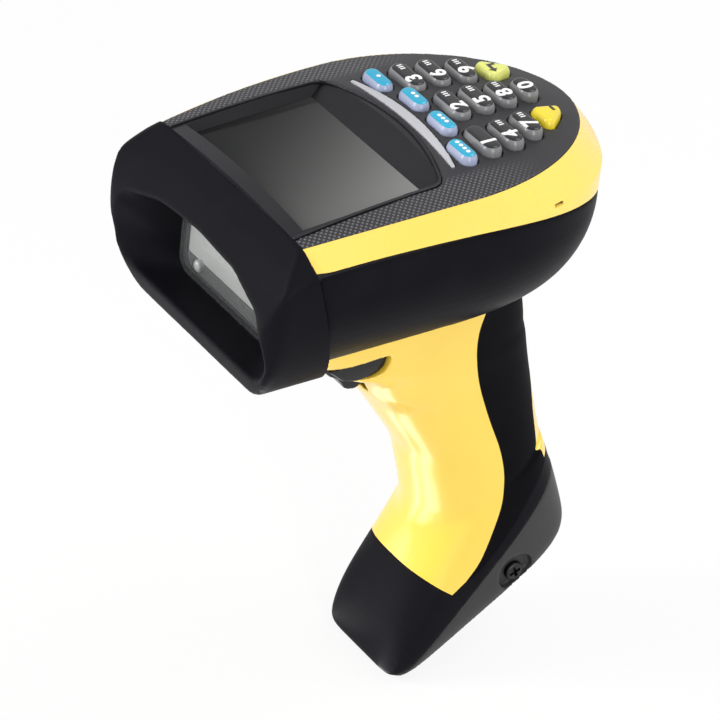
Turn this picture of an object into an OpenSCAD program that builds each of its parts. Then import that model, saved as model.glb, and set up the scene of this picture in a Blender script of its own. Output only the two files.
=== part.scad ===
// Industrial barcode scanner with a pistol grip, a display and sixteen keys.
// Frame: origin at the centre of the grip, +Z up, the nose towards -Y, the operator's left side +X.

/* [Head] */
// Greatest width of the head
head_w = 85; // [80:0.5:90]
// Length from the nose rim to the back of the head
head_len = 128; // [122:0.5:134]
// How far the head reaches behind the grip centre
head_back = 23; // [21:0.5:26]
// Height of the flat underside above the grip centre
head_floor = 62; // [60:0.5:64]
// Height of the widest line of the flanks
bulge_z = 94; // [90:0.5:98]
// Height of the joint between the lower body and the band
split_z = 106; // [103:0.5:107.5]
// Height of the band's upper edge at its highest
band_top = 115.5; // [113:0.5:118]
// Half width of the flat underside over the handle
floor_half = 14; // [12:0.5:16]
// Half width of the nose's flat underside
nose_floor_half = 26; // [24:0.5:28]
// How far the top's edge lies in from the flanks amidships
top_inset = 3.5; // [2.5:0.1:5.5]
// How far the top's edge lies in from the flanks at the nose
front_inset = 8; // [6:0.1:10]
// Rise of the top from its edge to its middle line
crown = 3; // [1.5:0.1:4.5]
// Fall of the top edge from its highest point to the nose
front_drop = 5.3; // [3:0.1:7]
// Wall of the head's shells
head_wall = 2.6; // [2:0.1:3.2]
// Thickness of the seal between the lower body and the band
seal_t = 0.6; // [0.4:0.1:1]

/* [Nose] */
// Thickness of the rubber boot over the nose
boot_t = 3; // [2.4:0.1:3.6]
// How far the boot stands proud of the body
boot_proud = 0.5; // [0.3:0.1:0.9]
// Length of the boot along the top
boot_top_len = 12; // [10:0.5:14]
// Length of the boot along the underside
boot_low_len = 26.5; // [24:0.5:29]
// Depth of the scan window behind the nose rim
window_depth = 15.5; // [14:0.5:17]
// Width of the scan window
window_w = 52; // [48:0.5:53]
// Height of the scan window
window_h = 23; // [20:0.5:25]
// Thickness of the scan window
window_t = 1.4; // [1:0.1:2]
// Thickness of the window gasket
gasket_t = 0.8; // [0.5:0.1:1.2]
// Width of the opening in the nose
mouth_w = 78; // [74:0.5:80]
// Height of the opening in the nose
mouth_h = 30; // [28:0.5:32]

/* [Display] */
// Width of the display opening
screen_w = 56; // [50:0.5:57]
// Width of the display surround beside the opening at its front
surround_side = 4; // [3:0.1:4.6]
// Width of the display surround beside the opening at its rear corners
surround_rear_side = 2.5; // [2:0.1:3]
// Length of the display opening
screen_l = 40; // [36:0.5:40.5]
// Tilt of the display
screen_tilt = 3.5; // [2:0.1:5]
// Thickness of the display lens
lens_t = 1.6; // [1:0.1:2]
// Thickness of the display module
module_t = 3.2; // [2.5:0.1:4]
// Length of the light bar
bar_l = 50; // [44:0.5:52]
// Width of the light bar
bar_w = 2.4; // [2:0.1:2.8]

/* [Keys] */
// Length of a digit key across the head
key_l = 14; // [12.5:0.1:14.5]
// Width of a digit key along the head
key_w = 6.2; // [5:0.1:6.4]
// Length of a function key
fkey_l = 11; // [9:0.1:11.4]
// Spacing of the digit rows
row_pitch = 8.2; // [8:0.1:8.8]
// Offset of the outer digit columns in the first row
column_x = 18.3; // [18:0.1:19]
// Height of a key above the top
key_proud = 2.4; // [1.6:0.1:3]
// Travel of a key
key_travel = 0.8; // [0.5:0.1:0.8]
// Clearance round a key
key_gap = 0.3; // [0.25:0.05:0.4]

/* [Handle] */
// Half width of the grip
grip_half = 16.8; // [16:0.1:18]
// Half width of the handle under the head
neck_half = 19.2; // [18:0.1:20.5]
// Thickness of the rubber grips and of the base boot
skin_t = 2; // [1.6:0.1:2.4]
// Wall of the handle
handle_wall = 2.4; // [2:0.1:2.8]
// Width of the spine left between the two grips
spine_w = 9; // [6:0.5:12]
// Width of the trigger
trigger_w = 13; // [11:0.5:14]
// Diameter of the trigger pin
pin_d = 3; // [2.5:0.1:3.5]
// Clearance at each side of the trigger
trigger_gap = 0.5; // [0.3:0.05:0.8]

/* [Base] */
// Half width of the base
base_half = 18.5; // [17.5:0.1:20]
// Tilt of the base's flat bottom
base_tilt = 32.5; // [30:0.5:35]
// Thickness of the cover's floor
cover_floor_t = 2.4; // [2:0.1:3]
// Wall of the cover's rim
cover_wall = 2.4; // [2:0.1:3]
// Diameter of the battery cell
cell_d = 18.4; // [17.5:0.1:18.6]
// Length of the battery cell
cell_l = 65; // [60:0.5:66]
// Diameter of the cover screw
screw_d = 3; // [2.5:0.1:3.5]

/* [Hidden] */
$fn = 48;

far = 200;
head_half = head_w / 2;
nose_y = head_back - head_len;
top_half = head_half - top_inset;
top_front_half = head_half - front_inset;
surround_front_half = screen_w / 2 + surround_side;
surround_rear_half = screen_w / 2 + surround_rear_side;
belly_y = -38;
peak_y = -30;
back_drop = 1.7;
split_in = 0.4;
nose_r = 6;
nose_lift = 1.6;
flank_n = 1.6;
split_tilt = 1.6;
split_y = -15;
top_back = head_back - 2;
floor_back = head_back - 19;
flank_levels = 5;
corner_steps = 3;
flank_steps = 5;
tail_steps = 7;
tail_end = 84;
crown_rings = [1, 0.8, 0.5, 0.22];
fit = 0.1;
seal_half = seal_t / 2;
core_y = nose_y + window_depth;
seat_y = core_y + window_t + gasket_t;
bulkhead_y = seat_y + head_wall;
window_z = head_floor + 18.8;
window_rim = 2.5;
window_r = 6;
mouth_z = head_floor + 23;
mouth_top_half = 25;
mouth_r = 8;
lip_z = split_z - 4;
lip_step = 4.5;
lean = 7;
lean_h = 22;
brow = 3.2;
brow_y = 10;
brow_drop = 2.8;
bezel_t = 3;
bezel_lip = 0.4;
screen_y = nose_y + boot_top_len + 5;
screen_z = band_top - 4.6;
screen_margin = 1.2;
surround_rear = -44;
surround_bow = 6.5;
stack_t = lens_t + gasket_t + module_t;
bracket_t = 1.5;
bay_back = 12;
bar_y = -35;
bar_bow = 2.4;
bar_rise = 0.4;
first_row = -22.8;
middle_lead = 2.4;
converge = 0.645;
shorten = 0.5;
fkey_y = -28.1;
fkey_pitch = 13.7;
fkey_bow = 0.0075;
key_base = band_top - 3.5;
key_rest = 0.1;
corner_points = [[-1.5, -0.5], [-0.2, 4], [3.6, -0.7]];
corner_r = 2;
flange_t = 0.8;
flange_out = 0.6;
fkey_w = key_w - 0.8;
mat_t = 1;
board_t = 1.6;
mat_top = key_base - key_travel - key_rest;
board_top = mat_top - mat_t;
keypad_boss = [29.6, -30];
keypad_boss_d = 3.8;
pad_rim = 2;
pad_corner = 8;
pad_front = first_row - 13.8;
pad_shoulder_front = first_row - 10.4;
pad_rear = first_row + 3 * row_pitch + 7.2;
pad_shoulder = first_row + 3;
mat_in = 4.6;
head_boss = [27, -38.6];
pad_notch = head_boss[0] - 4.5;
tail_boss_y = 13.5;
boss_d = 6.5;
small_screw_d = 3;
screw_head_d = 5.6;
screw_head_h = 3;
screw_gap = 0.3;
low_boss_d = 9;
head_boss_z = head_floor + 14;
tail_boss_z = head_floor + 17;
cavity_y = boot_y(head_floor) + 1;
bezel_boss_top = band_top - 0.5;
board_z = head_floor + 22;
board_half = 21.5;
board_y = [-56, 4];
board_posts = [[16, -50], [12, -12]];
post_d = 6;
radio_at = [-18, -44];
radio_size = [14, 18, 2.4];
sounder_at = [14, -6];
sounder_d = 12;
sounder_h = 6;
floor_in = head_floor + head_wall;
wire_hole = [8, 20];
wire_y = -27;
engine_w = 30;
engine_h = 20;
engine_y = bulkhead_y + 1.4;
engine_l = 22;
engine_foot = 8;
engine_z = head_floor + boot_t + head_wall + 2.4;
aimer_x = 17;
aimer_z = window_z - 5.5;
aimer_d = 5.4;
lamp_t = 1.4;
handle_posts = [[8, -29.5], [-8, -29.5], [0, -3]];
handle_web = 4;
handle_post_d = 6;
handle_post_l = 11;

// The grip's sections: front point, rear point, half width and squareness at the front and the rear
base_y = -26;
base_z = -68.6;
base_sections = [[22.8, 79.5, 32, 1.2, 2.7, 2.7], [15, 76.3, 22, 0.7, 4.5, 3], [7.6, 74, 12, 0.2, 6.5, 3.2],
    [1.2, 71.5, 4, 0, 8, 3.4], [-0.4, 70, 0, 1, 8, 3.4]];
neck_sections = [[-82, 4, 4, 0, 3.2], [-80.5, 6.5, -1, 0, 3.2], [-70, 8.2, -7, 0.5, 3],
    [-57.5, 9.7, -12.3, 1, 2.8]];
grip_sections = [[-47.5, 41, 11.9, 42, -0.8, 2.6], [-42.5, 33, 14, 34.5, -0.2, 2.5],
    [-37.5, 26, 16, 27.5, 0, 2.4], [-30.5, 16, 18.3, 19, 0.2, 2.4], [-24, 6, 20.3, 11.5, 0.2, 2.4],
    [-20, -4, 21.8, 6.8, 0.2, 2.4], [-18.5, -14, 23, 3.8, 0, 2.4], [-18, -23, 23.9, 1.6, -0.2, 2.4]];
section_points = 28;
wave_points = [[-12.5, head_floor + 5], [-12.9, 60.7], [-14.4, 52.6], [-13.5, 43.2], [-10.4, 32.5],
    [-5.1, 19.6], [0.7, 6.8], [3.5, -3.2], [3.7, -12.7], [1.3, -22.2], [-2.2, -31.4], [-6.6, -37.2]];
tip_points = [[-6.6, -37.2], [-11.1, -40.7]];
chin_points = [[-11.1, -40.7], [-18, -36], [-21.9, -34.1], [-24.3, -33.5], [-45, -32.5]];
heel_points = [[-6.6, -37.2], [-2.2, -34.8], [2.2, -30.3], [6.9, -24.4], [11.5, -17.3], [16.6, -9.7],
    [24, -2.5], [48, 6]];
curve_steps = 3;
cover_rise = 0.25;
cover_low = 2.4;
slot_half = trigger_w / 2 + trigger_gap;
pivot = [-46, head_floor - 4.6];
pivot_r = 4.2;
pin_l = 22;
pin_gap = 0.05;
housing_y = [pivot[0] - 18, pivot[0] + 12];
housing_z = [pivot[1] - 20, head_floor - 1];
slot_back = pivot[0] + 9.5;
hood_front = pivot[0] - 14.5;
slot_low = pivot[1] - 23;
slot_top = pivot[1] - 3;
lever_points = [[-3.5, -3.5], [-11.5, -10.9], [-11.8, -12.9], [-10, -14.8], [-7.5, -16.2], [-6, -18.2],
    [-4.5, -20.2], [-1.5, -21.2], [0.6, -20.4], [1.6, -17], [2.2, -11], [3.7, -3.6]];
notch_points = [[-29, -4.9], [-16, -5.4], [-1, -3.1], [1.4, -4.4], [2.5, -6.9], [2.6, -14.4], [2, -18.9],
    [-1, -21.4], [-29, -23.4]];
spring_w = 4.6;
spring_d = 7;
switch_size = [6.4, 3.3, 8];
cell_tilt = 12;
cell_y = 1.5;
cell_z = -8;
cell_low = -26;
connector_size = [13, 11, 4];
cover_screw_u = 47.4;
cover_screw_v = 3.6;
pocket_d = 14;
pocket_depth = 2.2;
lug_x = [9.8, 13, 15.7];
boss_x = 13.2;
nut_floor = 0.7;
lug_low = nut_floor + 0.4;
lug_top = 20;
seal_in = 0.5;
lug_u = [42, 52];
nut_t = 2.4;
nut_w = 5;
contact_d = 5;
contact_x = 6;
contact_u = 26;
black = "#26252b";
rubber = "#1d1c21";
yellow = "#f6d24e";
dark = "#3c3c41";
blue = "#2aa6d4";
metal = "#a9adb2";
board_green = "#2c6b45";
smoke = "#4a5056";

// Fall of the top edge below its highest point
function fall(y) = y < peak_y ? front_drop * pow((peak_y - y) / (peak_y - nose_y), 2)
    : back_drop * pow((y - peak_y) / (head_back - peak_y), 2);
function tail_half(w, y, yb, n) = w * pow(max(0, 1 - pow(max(0, y - belly_y) / (yb - belly_y), n)), 1 / n);
// Height of the top at a place on it
function top_z(x, y) = band_top - fall(y) + crown * (1 - pow(x / tail_half(top_half, y, top_back, 2), 2));
function boot_y(z) = nose_y + boot_low_len
    - (boot_low_len - boot_top_len) * (z - head_floor) / (band_top - head_floor);

// A level of the head: height, half width at the nose, half width amidships, back, follows the top, corner
function flank_level(t, d, nose) = let (n = nose ? 2 : flank_n, low = nose ? nose_floor_half : floor_half,
    z0 = head_floor + d + (nose ? nose_lift : 0), s = pow(sin(t), 2 / n), w = low + (head_half - low) * s - d)
    [z0 + (bulge_z - z0) * (1 - pow(cos(t), 2 / n)), w, w,
    floor_back + (head_back - floor_back) * s - d, 0, nose_r];
function crown_level(f, d) = [band_top - d + crown * (1 - f * f), (top_front_half - d) * f,
    (top_half - d) * f, top_back - d - (1 - f) * top_half, 1, nose_r * f];
function head_levels(d, nose) = concat(
    [for (i = [0 : flank_levels]) flank_level(90 * i / flank_levels, d, nose)],
    [[split_z, head_half - split_in - d, head_half - split_in - d, head_back - d, 0, nose_r]],
    [for (f = crown_rings) crown_level(f, d)]);

function corner_pts(w, r) = [for (i = [0 : corner_steps]) let (a = 90 * i / corner_steps)
    [w - r + r * sin(a), nose_y + r - r * cos(a)]];
function flank_pts(w0, w1, r) = [for (i = [1 : flank_steps]) let (t = i / flank_steps)
    [w1 - (w1 - w0) * pow(1 - t, 2), nose_y + r + (belly_y - nose_y - r) * t]];
function tail_pts(w, yb, n) = [for (i = [1 : tail_steps]) let (a = tail_end * i / tail_steps)
    [w * pow(cos(a), 2 / n), belly_y + (yb - belly_y) * pow(sin(a), 2 / n)]];
function plan_side(l) = concat(corner_pts(l[1], l[5]), flank_pts(l[1], l[2], l[5]),
    tail_pts(l[2], l[3], l[4] == 1 ? 2 : 2.4));
function plan_ring(l) = let (s = plan_side(l), n = len(s))
    concat(s, [for (i = [n - 1 : -1 : 0]) [-s[i][0], s[i][1]]]);
function head_ring(l) = [for (p = plan_ring(l)) [p[0], p[1], l[0] - l[4] * fall(p[1])]];

// Faces of a closed form made of rings of m points, its ends closed by strips across
function ring_faces(rings, m) = concat(
    [for (i = [0 : rings - 2], j = [0 : m - 1]) [i * m + j, (i + 1) * m + j, (i + 1) * m + (j + 1) % m]],
    [for (i = [0 : rings - 2], j = [0 : m - 1]) [i * m + j, (i + 1) * m + (j + 1) % m, i * m + (j + 1) % m]],
    [for (j = [0 : m / 2 - 2]) each [[j, j + 1, m - 2 - j], [j, m - 2 - j, m - 1 - j]]],
    [for (j = [0 : m / 2 - 2]) let (o = (rings - 1) * m)
        each [[o + j, o + m - 2 - j, o + j + 1], [o + j, o + m - 1 - j, o + m - 2 - j]]]);

// The head's outer form, drawn in by d; the nose is squarer below
module head_form(d, nose = false) {
    rings = [for (l = head_levels(d, nose)) head_ring(l)];
    polyhedron([for (r = rings) each r], ring_faces(len(rings), len(rings[0])));
}

// A smooth curve through hand-chosen points
function curve_at(p, i, t) = let (a = p[max(i - 1, 0)], b = p[i], c = p[i + 1], d = p[min(i + 2, len(p) - 1)])
    0.5 * (2 * b + (c - a) * t + (2 * a - 5 * b + 4 * c - d) * t * t + (3 * b - a - 3 * c + d) * t * t * t);
function curve(p) = concat(
    [for (i = [0 : len(p) - 2], k = [0 : curve_steps - 1]) curve_at(p, i, k / curve_steps)],
    [p[len(p) - 1]]);
function backwards(p) = [for (i = [len(p) - 1 : -1 : 0]) p[i]];

// A point of the base's own frame, along its bottom and square to it
function base_pt(u, v) = [base_y + u * cos(base_tilt) - v * sin(base_tilt),
    base_z + u * sin(base_tilt) + v * cos(base_tilt)];
function sections() = concat(
    [for (s = neck_sections) [[s[0], head_floor + s[2]], [s[1], head_floor + s[2]], neck_half - s[3], s[4], s[4]]],
    [for (s = grip_sections) [[s[0], s[1]], [s[2], s[3]], grip_half - s[4], s[5], s[5]]],
    [for (s = base_sections) [base_pt(s[0], s[2]), base_pt(s[1], s[2]), base_half - s[3], s[4], s[5]]]);
function signed_pow(x, e) = sign(x) * pow(abs(x), e);
function section_ring(s, d) = let (c = (s[0] + s[1]) / 2, l = norm(s[1] - s[0]), e = (s[1] - s[0]) / l)
    [for (i = [0 : section_points - 1]) let (a = 360 * (i + 0.5) / section_points - 90,
        n = sin(a) < 0 ? s[3] : s[4], x = (s[2] - d) * signed_pow(cos(a), 2 / n),
        b = (l / 2 - d) * signed_pow(sin(a), 2 / n)) [x, c[0] + e[0] * b, c[1] + e[1] * b]];

// The handle's and base's outer form, drawn in by d
module grip_form(d) {
    rings = [for (s = backwards(sections())) section_ring(s, d)];
    polyhedron([for (r = rings) each r], ring_faces(len(rings), section_points));
}

module box(lo, hi) {
    translate(lo) cube(hi - lo);
}
// An outline of (y, z) points drawn through the whole width
module side_prism(points) {
    rotate([90, 0, 90]) linear_extrude(far, center = true) polygon(points);
}
module x_rod(d, l) {
    rotate([0, 90, 0]) cylinder(d = d, h = l, center = true);
}
module y_rod(d, l) {
    rotate([-90, 0, 0]) cylinder(d = d, h = l);
}
module mirrored() {
    children();
    mirror([1, 0, 0]) children();
}
module behind_boot() {
    side_prism([[boot_y(0), 0], [far, 0], [far, far], [boot_y(far), far]]);
}
module below(z) {
    box([-far, -far, -far], [far, far, z]);
}
module above(z) {
    box([-far, -far, z], [far, far, far]);
}
module split_plane() {
    translate([0, split_y, split_z]) rotate([-split_tilt, 0, 0]) children();
}
module below_split() {
    split_plane() below(-seal_half);
}
module above_split() {
    split_plane() above(seal_half);
}
module behind(y) {
    box([-far, y, -far], [far, far, far]);
}
module at_base() {
    translate([0, base_y, base_z]) rotate([base_tilt, 0, 0]) children();
}
module at_screen() {
    translate([0, screen_y, screen_z]) rotate([screen_tilt, 0, 0]) children();
}
module rounded_slab(w, h, r, t) {
    linear_extrude(t) {
        square([w - 2 * r, h], center = true);
        square([w, h - 2 * r], center = true);
        for (x = [-1, 1], y = [-1, 1]) translate([x * (w / 2 - r), y * (h / 2 - r)]) circle(r);
    }
}
module stadium(l, w) {
    square([l - w, w], center = true);
    for (s = [-1, 1]) translate([s * (l - w) / 2, 0]) circle(d = w);
}

// Places shared by neighbouring parts
function outer_x(r) = column_x - converge * r * r;
function row_y(r) = first_row + row_pitch * r;
function digit_l(r) = key_l - shorten * r * r;
function fkey_x(i) = (i - 1.5) * fkey_pitch;
function fkey_at(i) = fkey_y - fkey_bow * pow(fkey_x(i), 2);
module key_body(x, y, l, w) {
    translate([x, y, key_base]) {
        linear_extrude(top_z(x, y) + key_proud - key_base) stadium(l, w);
        linear_extrude(flange_t) stadium(l + 2 * flange_out, w + 2 * flange_out);
    }
}
// The rounded triangle of the two keys in the rear corners
module corner_plan(d) {
    hull() for (p = corner_points) translate(p) circle(corner_r + d, $fn = 32);
}
module at_corner_key() {
    translate([outer_x(3), row_y(3), 0]) children();
}
module corner_key() {
    at_corner_key() {
        translate([0, 0, key_base]) linear_extrude(top_z(outer_x(3), row_y(3)) + key_proud - key_base)
            corner_plan(0);
        translate([0, 0, key_base]) linear_extrude(flange_t) corner_plan(flange_out);
    }
}
module key_hole(x, y, l, w) {
    translate([x, y, key_base - flange_t]) linear_extrude(far) stadium(l + 2 * key_gap, w + 2 * key_gap);
}
module digit_key(column, row) {
    key_body(column * outer_x(row), row_y(row) + (column == 0 ? middle_lead : 0), digit_l(row), key_w);
}
module function_key(i) {
    key_body(fkey_x(i), fkey_at(i), fkey_l, fkey_w);
}
module key_holes() {
    for (r = [0 : 2], c = [-1 : 1])
        key_hole(c * outer_x(r), row_y(r) + (c == 0 ? middle_lead : 0), digit_l(r), key_w);
    key_hole(0, row_y(3) + middle_lead, digit_l(3), key_w);
    mirrored() at_corner_key() translate([0, 0, key_base - flange_t]) {
        linear_extrude(far) corner_plan(key_gap);
        linear_extrude(2 * flange_t + key_gap) corner_plan(flange_out + key_gap);
    }
    for (i = [0 : 3]) key_hole(fkey_x(i), fkey_at(i), fkey_l, fkey_w);
}
module top_prism(d) {
    translate([0, 0, bulge_z]) linear_extrude(far) polygon(plan_ring(crown_level(1, d)));
}
module surround_plan(d) {
    r = (pow(surround_rear_half, 2) + pow(surround_bow, 2)) / (2 * surround_bow);
    polygon([[-surround_front_half + d, nose_y], [surround_front_half - d, nose_y],
        [surround_rear_half - d, surround_rear], [d - surround_rear_half, surround_rear]]);
    intersection() {
        translate([0, surround_rear + surround_bow - r]) circle(r - d, $fn = 96);
        translate([d - surround_rear_half, surround_rear - 1]) square([2 * (surround_rear_half - d), 12]);
    }
}
module bar_plan(d) {
    r = (pow(bar_l / 2, 2) + pow(bar_bow, 2)) / (2 * bar_bow);
    intersection() {
        translate([0, bar_y - r]) difference() {
            circle(r + bar_w / 2 + d, $fn = 180);
            circle(r - bar_w / 2 - d, $fn = 180);
        }
        translate([-bar_l / 2 - d, bar_y - 12]) square([bar_l + 2 * d, 24]);
    }
}
module screen_box(margin, z0, z1) {
    at_screen() box([-screen_w / 2 - margin, -margin, z0], [screen_w / 2 + margin, screen_l + margin, z1]);
}
// Room for the display and what lies under it
module display_bay() {
    at_screen() box([-surround_front_half - screw_gap, -far, -stack_t - bracket_t - screw_gap],
        [surround_front_half + screw_gap, screen_l + bay_back, far]);
}
module head_screw_places(z, tail_z) {
    mirrored() translate([head_boss[0], head_boss[1], z]) children();
    translate([0, tail_boss_y, tail_z]) children();
}
module handle_screw_places() {
    for (p = handle_posts) translate([p[0], p[1], 0]) children();
}
module board_post_places() {
    for (p = board_posts, s = [-1, 1]) translate([s * p[0], p[1], 0]) children();
}
module window_slab(grow, y0, y1, r) {
    translate([0, y0, window_z]) rotate([-90, 0, 0])
        rounded_slab(window_w + 2 * grow, window_h + 2 * grow, r, y1 - y0);
}
module nose_core(d) {
    intersection() {
        head_form(d);
        behind(core_y);
        below_split();
    }
}
module funnel() {
    hull() {
        translate([0, nose_y - 1, mouth_z]) rotate([90, 0, 0]) linear_extrude(1) mouth_plan();
        window_slab(-1, core_y - fit, core_y, window_r - 1);
    }
}
module mouth_plan() {
    hull() {
        for (s = [-1, 1]) {
            translate([s * (mouth_w / 2 - mouth_r), mouth_r - mouth_h / 2]) circle(mouth_r, $fn = 32);
            translate([s * (mouth_top_half - mouth_r), mouth_h / 2 - mouth_r]) circle(mouth_r, $fn = 32);
        }
    }
}
module grip_outline() {
    side_prism(concat(curve(wave_points), curve(heel_points), [[60, 20], [60, head_floor + 4]]));
}
module front_outline() {
    side_prism(concat([[-100, head_floor + 4]], curve(wave_points), curve(tip_points), curve(chin_points),
        [[-100, -27]]));
}
module base_outline() {
    side_prism(concat(curve(heel_points), [[60, -90], [-60, -90], [-60, -27]], backwards(curve(chin_points)),
        backwards(curve(tip_points))));
}
function cover_v(u) = cover_low + cover_rise * u;
module above_cover() {
    at_base() side_prism([[-far, cover_v(-far) + seal_t], [far, cover_v(far) + seal_t], [-far, far]]);
}
module cover_zone() {
    at_base() side_prism([[-20, -far], [far, -far], [far, cover_v(far)], [-20, cover_v(-20)]]);
}
module skin() {
    difference() {
        grip_form(0);
        grip_form(skin_t);
    }
}
module side_grip(x0, x1) {
    difference() {
        intersection() {
            skin();
            grip_outline();
            box([x0, -far, -far], [x1, far, far]);
        }
        head_form(0);
    }
}
module at_pivot() {
    translate([0, pivot[0], pivot[1]]) children();
}
module trigger_slot(y0, z0, z1) {
    box([-slot_half, y0, z0], [slot_half, slot_back, z1]);
}
module cell_frame() {
    translate([0, cell_y, cell_z]) rotate([cell_tilt, 0, 0]) children();
}
module at_cover_screw() {
    at_base() translate([0, cover_screw_u, cover_screw_v]) children();
}

module nose_boot() {
    color(rubber) difference() {
        intersection() {
            head_form(-boot_proud, true);
            side_prism([[nose_y + lean, head_floor - 2], [nose_y, head_floor + lean_h], [nose_y, lip_z],
                [nose_y + lip_step, lip_z + 1], [nose_y + lip_step + 0.5, lip_z + brow],
                [nose_y + brow_y, band_top - brow_drop], [boot_y(band_top + 4), band_top + 4],
                [boot_y(head_floor - 2), head_floor - 2]]);
        }
        nose_core(boot_t);
        funnel();
    }
}
module scan_window() {
    color(smoke) window_slab(-fit, core_y, core_y + window_t, window_r);
}
module window_gasket() {
    color(rubber) difference() {
        window_slab(-fit, core_y + window_t, seat_y, window_r);
        window_slab(-window_rim, core_y, seat_y + 1, window_r - 2);
    }
}
module lower_body() {
    color(black) difference() {
        union() {
            intersection() {
                head_form(0);
                behind_boot();
                below_split();
            }
            nose_core(boot_t);
        }
        difference() {
            union() {
                intersection() {
                    head_form(head_wall);
                    behind(cavity_y);
                }
                intersection() {
                    head_form(boot_t + head_wall);
                    behind(bulkhead_y);
                }
            }
            head_screw_places(0, 0) cylinder(d = low_boss_d, h = far);
            board_post_places() cylinder(d = post_d, h = board_z);
        }
        funnel();
        window_slab(0, core_y, seat_y, window_r);
        display_bay();
        window_slab(-window_rim, core_y, bulkhead_y + 1, window_r - 2);
        head_screw_places(0, 0) cylinder(d = small_screw_d + screw_gap, h = far);
        head_screw_places(head_boss_z - far, tail_boss_z - far)
            cylinder(d = screw_head_d + 2 * screw_gap, h = far);
        handle_screw_places() cylinder(d = small_screw_d + screw_gap, h = floor_in + 1);
        translate([0, wire_y, 0]) linear_extrude(floor_in + 1) square(wire_hole, center = true);
    }
}
module upper_shell() {
    color(yellow) difference() {
        intersection() {
            head_form(0);
            behind_boot();
            above_split();
        }
        top_prism(bezel_lip);
    }
}
module top_bezel() {
    color(black) difference() {
        union() {
            difference() {
                intersection() {
                    head_form(0);
                    behind_boot();
                    above_split();
                    top_prism(bezel_lip);
                }
                head_form(bezel_t);
            }
            intersection() {
                head_screw_places(0, 0) cylinder(d = boss_d, h = bezel_boss_top);
                above_split();
            }
            mirrored() translate([keypad_boss[0], keypad_boss[1], board_top])
                cylinder(d = keypad_boss_d, h = bezel_boss_top - board_top);
        }
        linear_extrude(far) surround_plan(0);
        linear_extrude(far) bar_plan(fit);
        key_holes();
        head_screw_places(0, 0) cylinder(d = small_screw_d, h = band_top - 3);
        mirrored() translate([keypad_boss[0], keypad_boss[1], 0]) cylinder(d = 2, h = board_top + 3.5);
    }
}
module display_surround() {
    color(rubber) difference() {
        intersection() {
            head_form(0);
            behind_boot();
            linear_extrude(far) surround_plan(fit);
            at_screen() above(-stack_t);
        }
        screen_box(0, -1, far);
        screen_box(screen_margin, -far, 0);
    }
}
module display_lens() {
    color(smoke) screen_box(screen_margin - fit, -lens_t, 0);
}
module display_gasket() {
    color(rubber) difference() {
        screen_box(screen_margin - fit, -lens_t - gasket_t, -lens_t);
        screen_box(-1, -far, far);
    }
}
module display_module() {
    color(metal) screen_box(screen_margin - fit, -stack_t, -lens_t - gasket_t);
}
module display_bracket() {
    color(metal) screen_box(screen_margin, -stack_t - bracket_t, -stack_t);
}
module light_bar() {
    color("#e4e4ea") intersection() {
        head_form(-bar_rise);
        linear_extrude(far) bar_plan(0);
        above(key_base + flange_t + 0.6);
    }
}
module key_f1() {
    color(blue) function_key(0);
}
module key_f2() {
    color(blue) function_key(1);
}
module key_f3() {
    color(blue) function_key(2);
}
module key_f4() {
    color(blue) function_key(3);
}
module key_1() {
    color(dark) digit_key(1, 0);
}
module key_2() {
    color(dark) digit_key(0, 0);
}
module key_3() {
    color(dark) digit_key(-1, 0);
}
module key_4() {
    color(dark) digit_key(1, 1);
}
module key_5() {
    color(dark) digit_key(0, 1);
}
module key_6() {
    color(dark) digit_key(-1, 1);
}
module key_7() {
    color(dark) digit_key(1, 2);
}
module key_8() {
    color(dark) digit_key(0, 2);
}
module key_9() {
    color(dark) digit_key(-1, 2);
}
module key_clear() {
    color("#d9bb2c") corner_key();
}
module key_0() {
    color(dark) digit_key(0, 3);
}
module key_enter() {
    color("#dfe37a") mirror([1, 0, 0]) corner_key();
}
// The keypad board's outline, notched at the screws in front and narrowing to the rear, drawn in by d
module pad_plan(d) {
    half = keypad_boss[0] + pad_rim - d;
    rear_half = outer_x(3) + pad_corner - d / 2;
    polygon([[-pad_notch, pad_front + d / 4], [pad_notch, pad_front + d / 4], [half, pad_shoulder_front + d / 4],
        [half, pad_shoulder], [rear_half, pad_rear], [-rear_half, pad_rear], [-half, pad_shoulder],
        [-half, pad_shoulder_front + d / 4]]);
}
module keypad_mat() {
    color("#56565c") translate([0, 0, board_top]) linear_extrude(mat_t) pad_plan(mat_in);
}
module keypad_board() {
    color(board_green) difference() {
        translate([0, 0, board_top - board_t]) linear_extrude(board_t) pad_plan(0);
        mirrored() translate([keypad_boss[0], keypad_boss[1], 0]) cylinder(d = 2.2, h = far);
    }
}
module keypad_screws() {
    color(metal) mirrored() translate([keypad_boss[0], keypad_boss[1], board_top - board_t]) {
        cylinder(d = 2, h = board_t + 3);
        translate([0, 0, -1.4]) cylinder(d = 3.6, h = 1.4);
    }
}
module body_seal() {
    color(rubber) difference() {
        intersection() {
            head_form(0.8);
            behind_boot();
            split_plane() box([-far, -far, -seal_half], [far, far, seal_half]);
        }
        head_form(head_wall);
    }
}
module head_screws() {
    color(metal) {
        mirrored() translate([head_boss[0], head_boss[1], head_boss_z]) long_screw(head_boss_z);
        translate([0, tail_boss_y, tail_boss_z]) long_screw(tail_boss_z);
    }
}
module long_screw(z) {
    cylinder(d = small_screw_d, h = band_top - 4 - z);
    translate([0, 0, -screw_head_h]) cylinder(d = screw_head_d, h = screw_head_h);
}
module scan_engine() {
    color(dark) box([-engine_w / 2, engine_y, engine_z],
        [engine_w / 2, engine_y + engine_l, engine_z + engine_h]);
}
module imager_lens() {
    color(smoke) translate([0, engine_y - 1.6, engine_z + 14]) y_rod(9, 1.6);
}
module engine_bracket() {
    color(metal) box([-engine_foot, engine_y + 6, floor_in], [engine_foot, engine_y + engine_l - 2, engine_z]);
}
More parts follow.
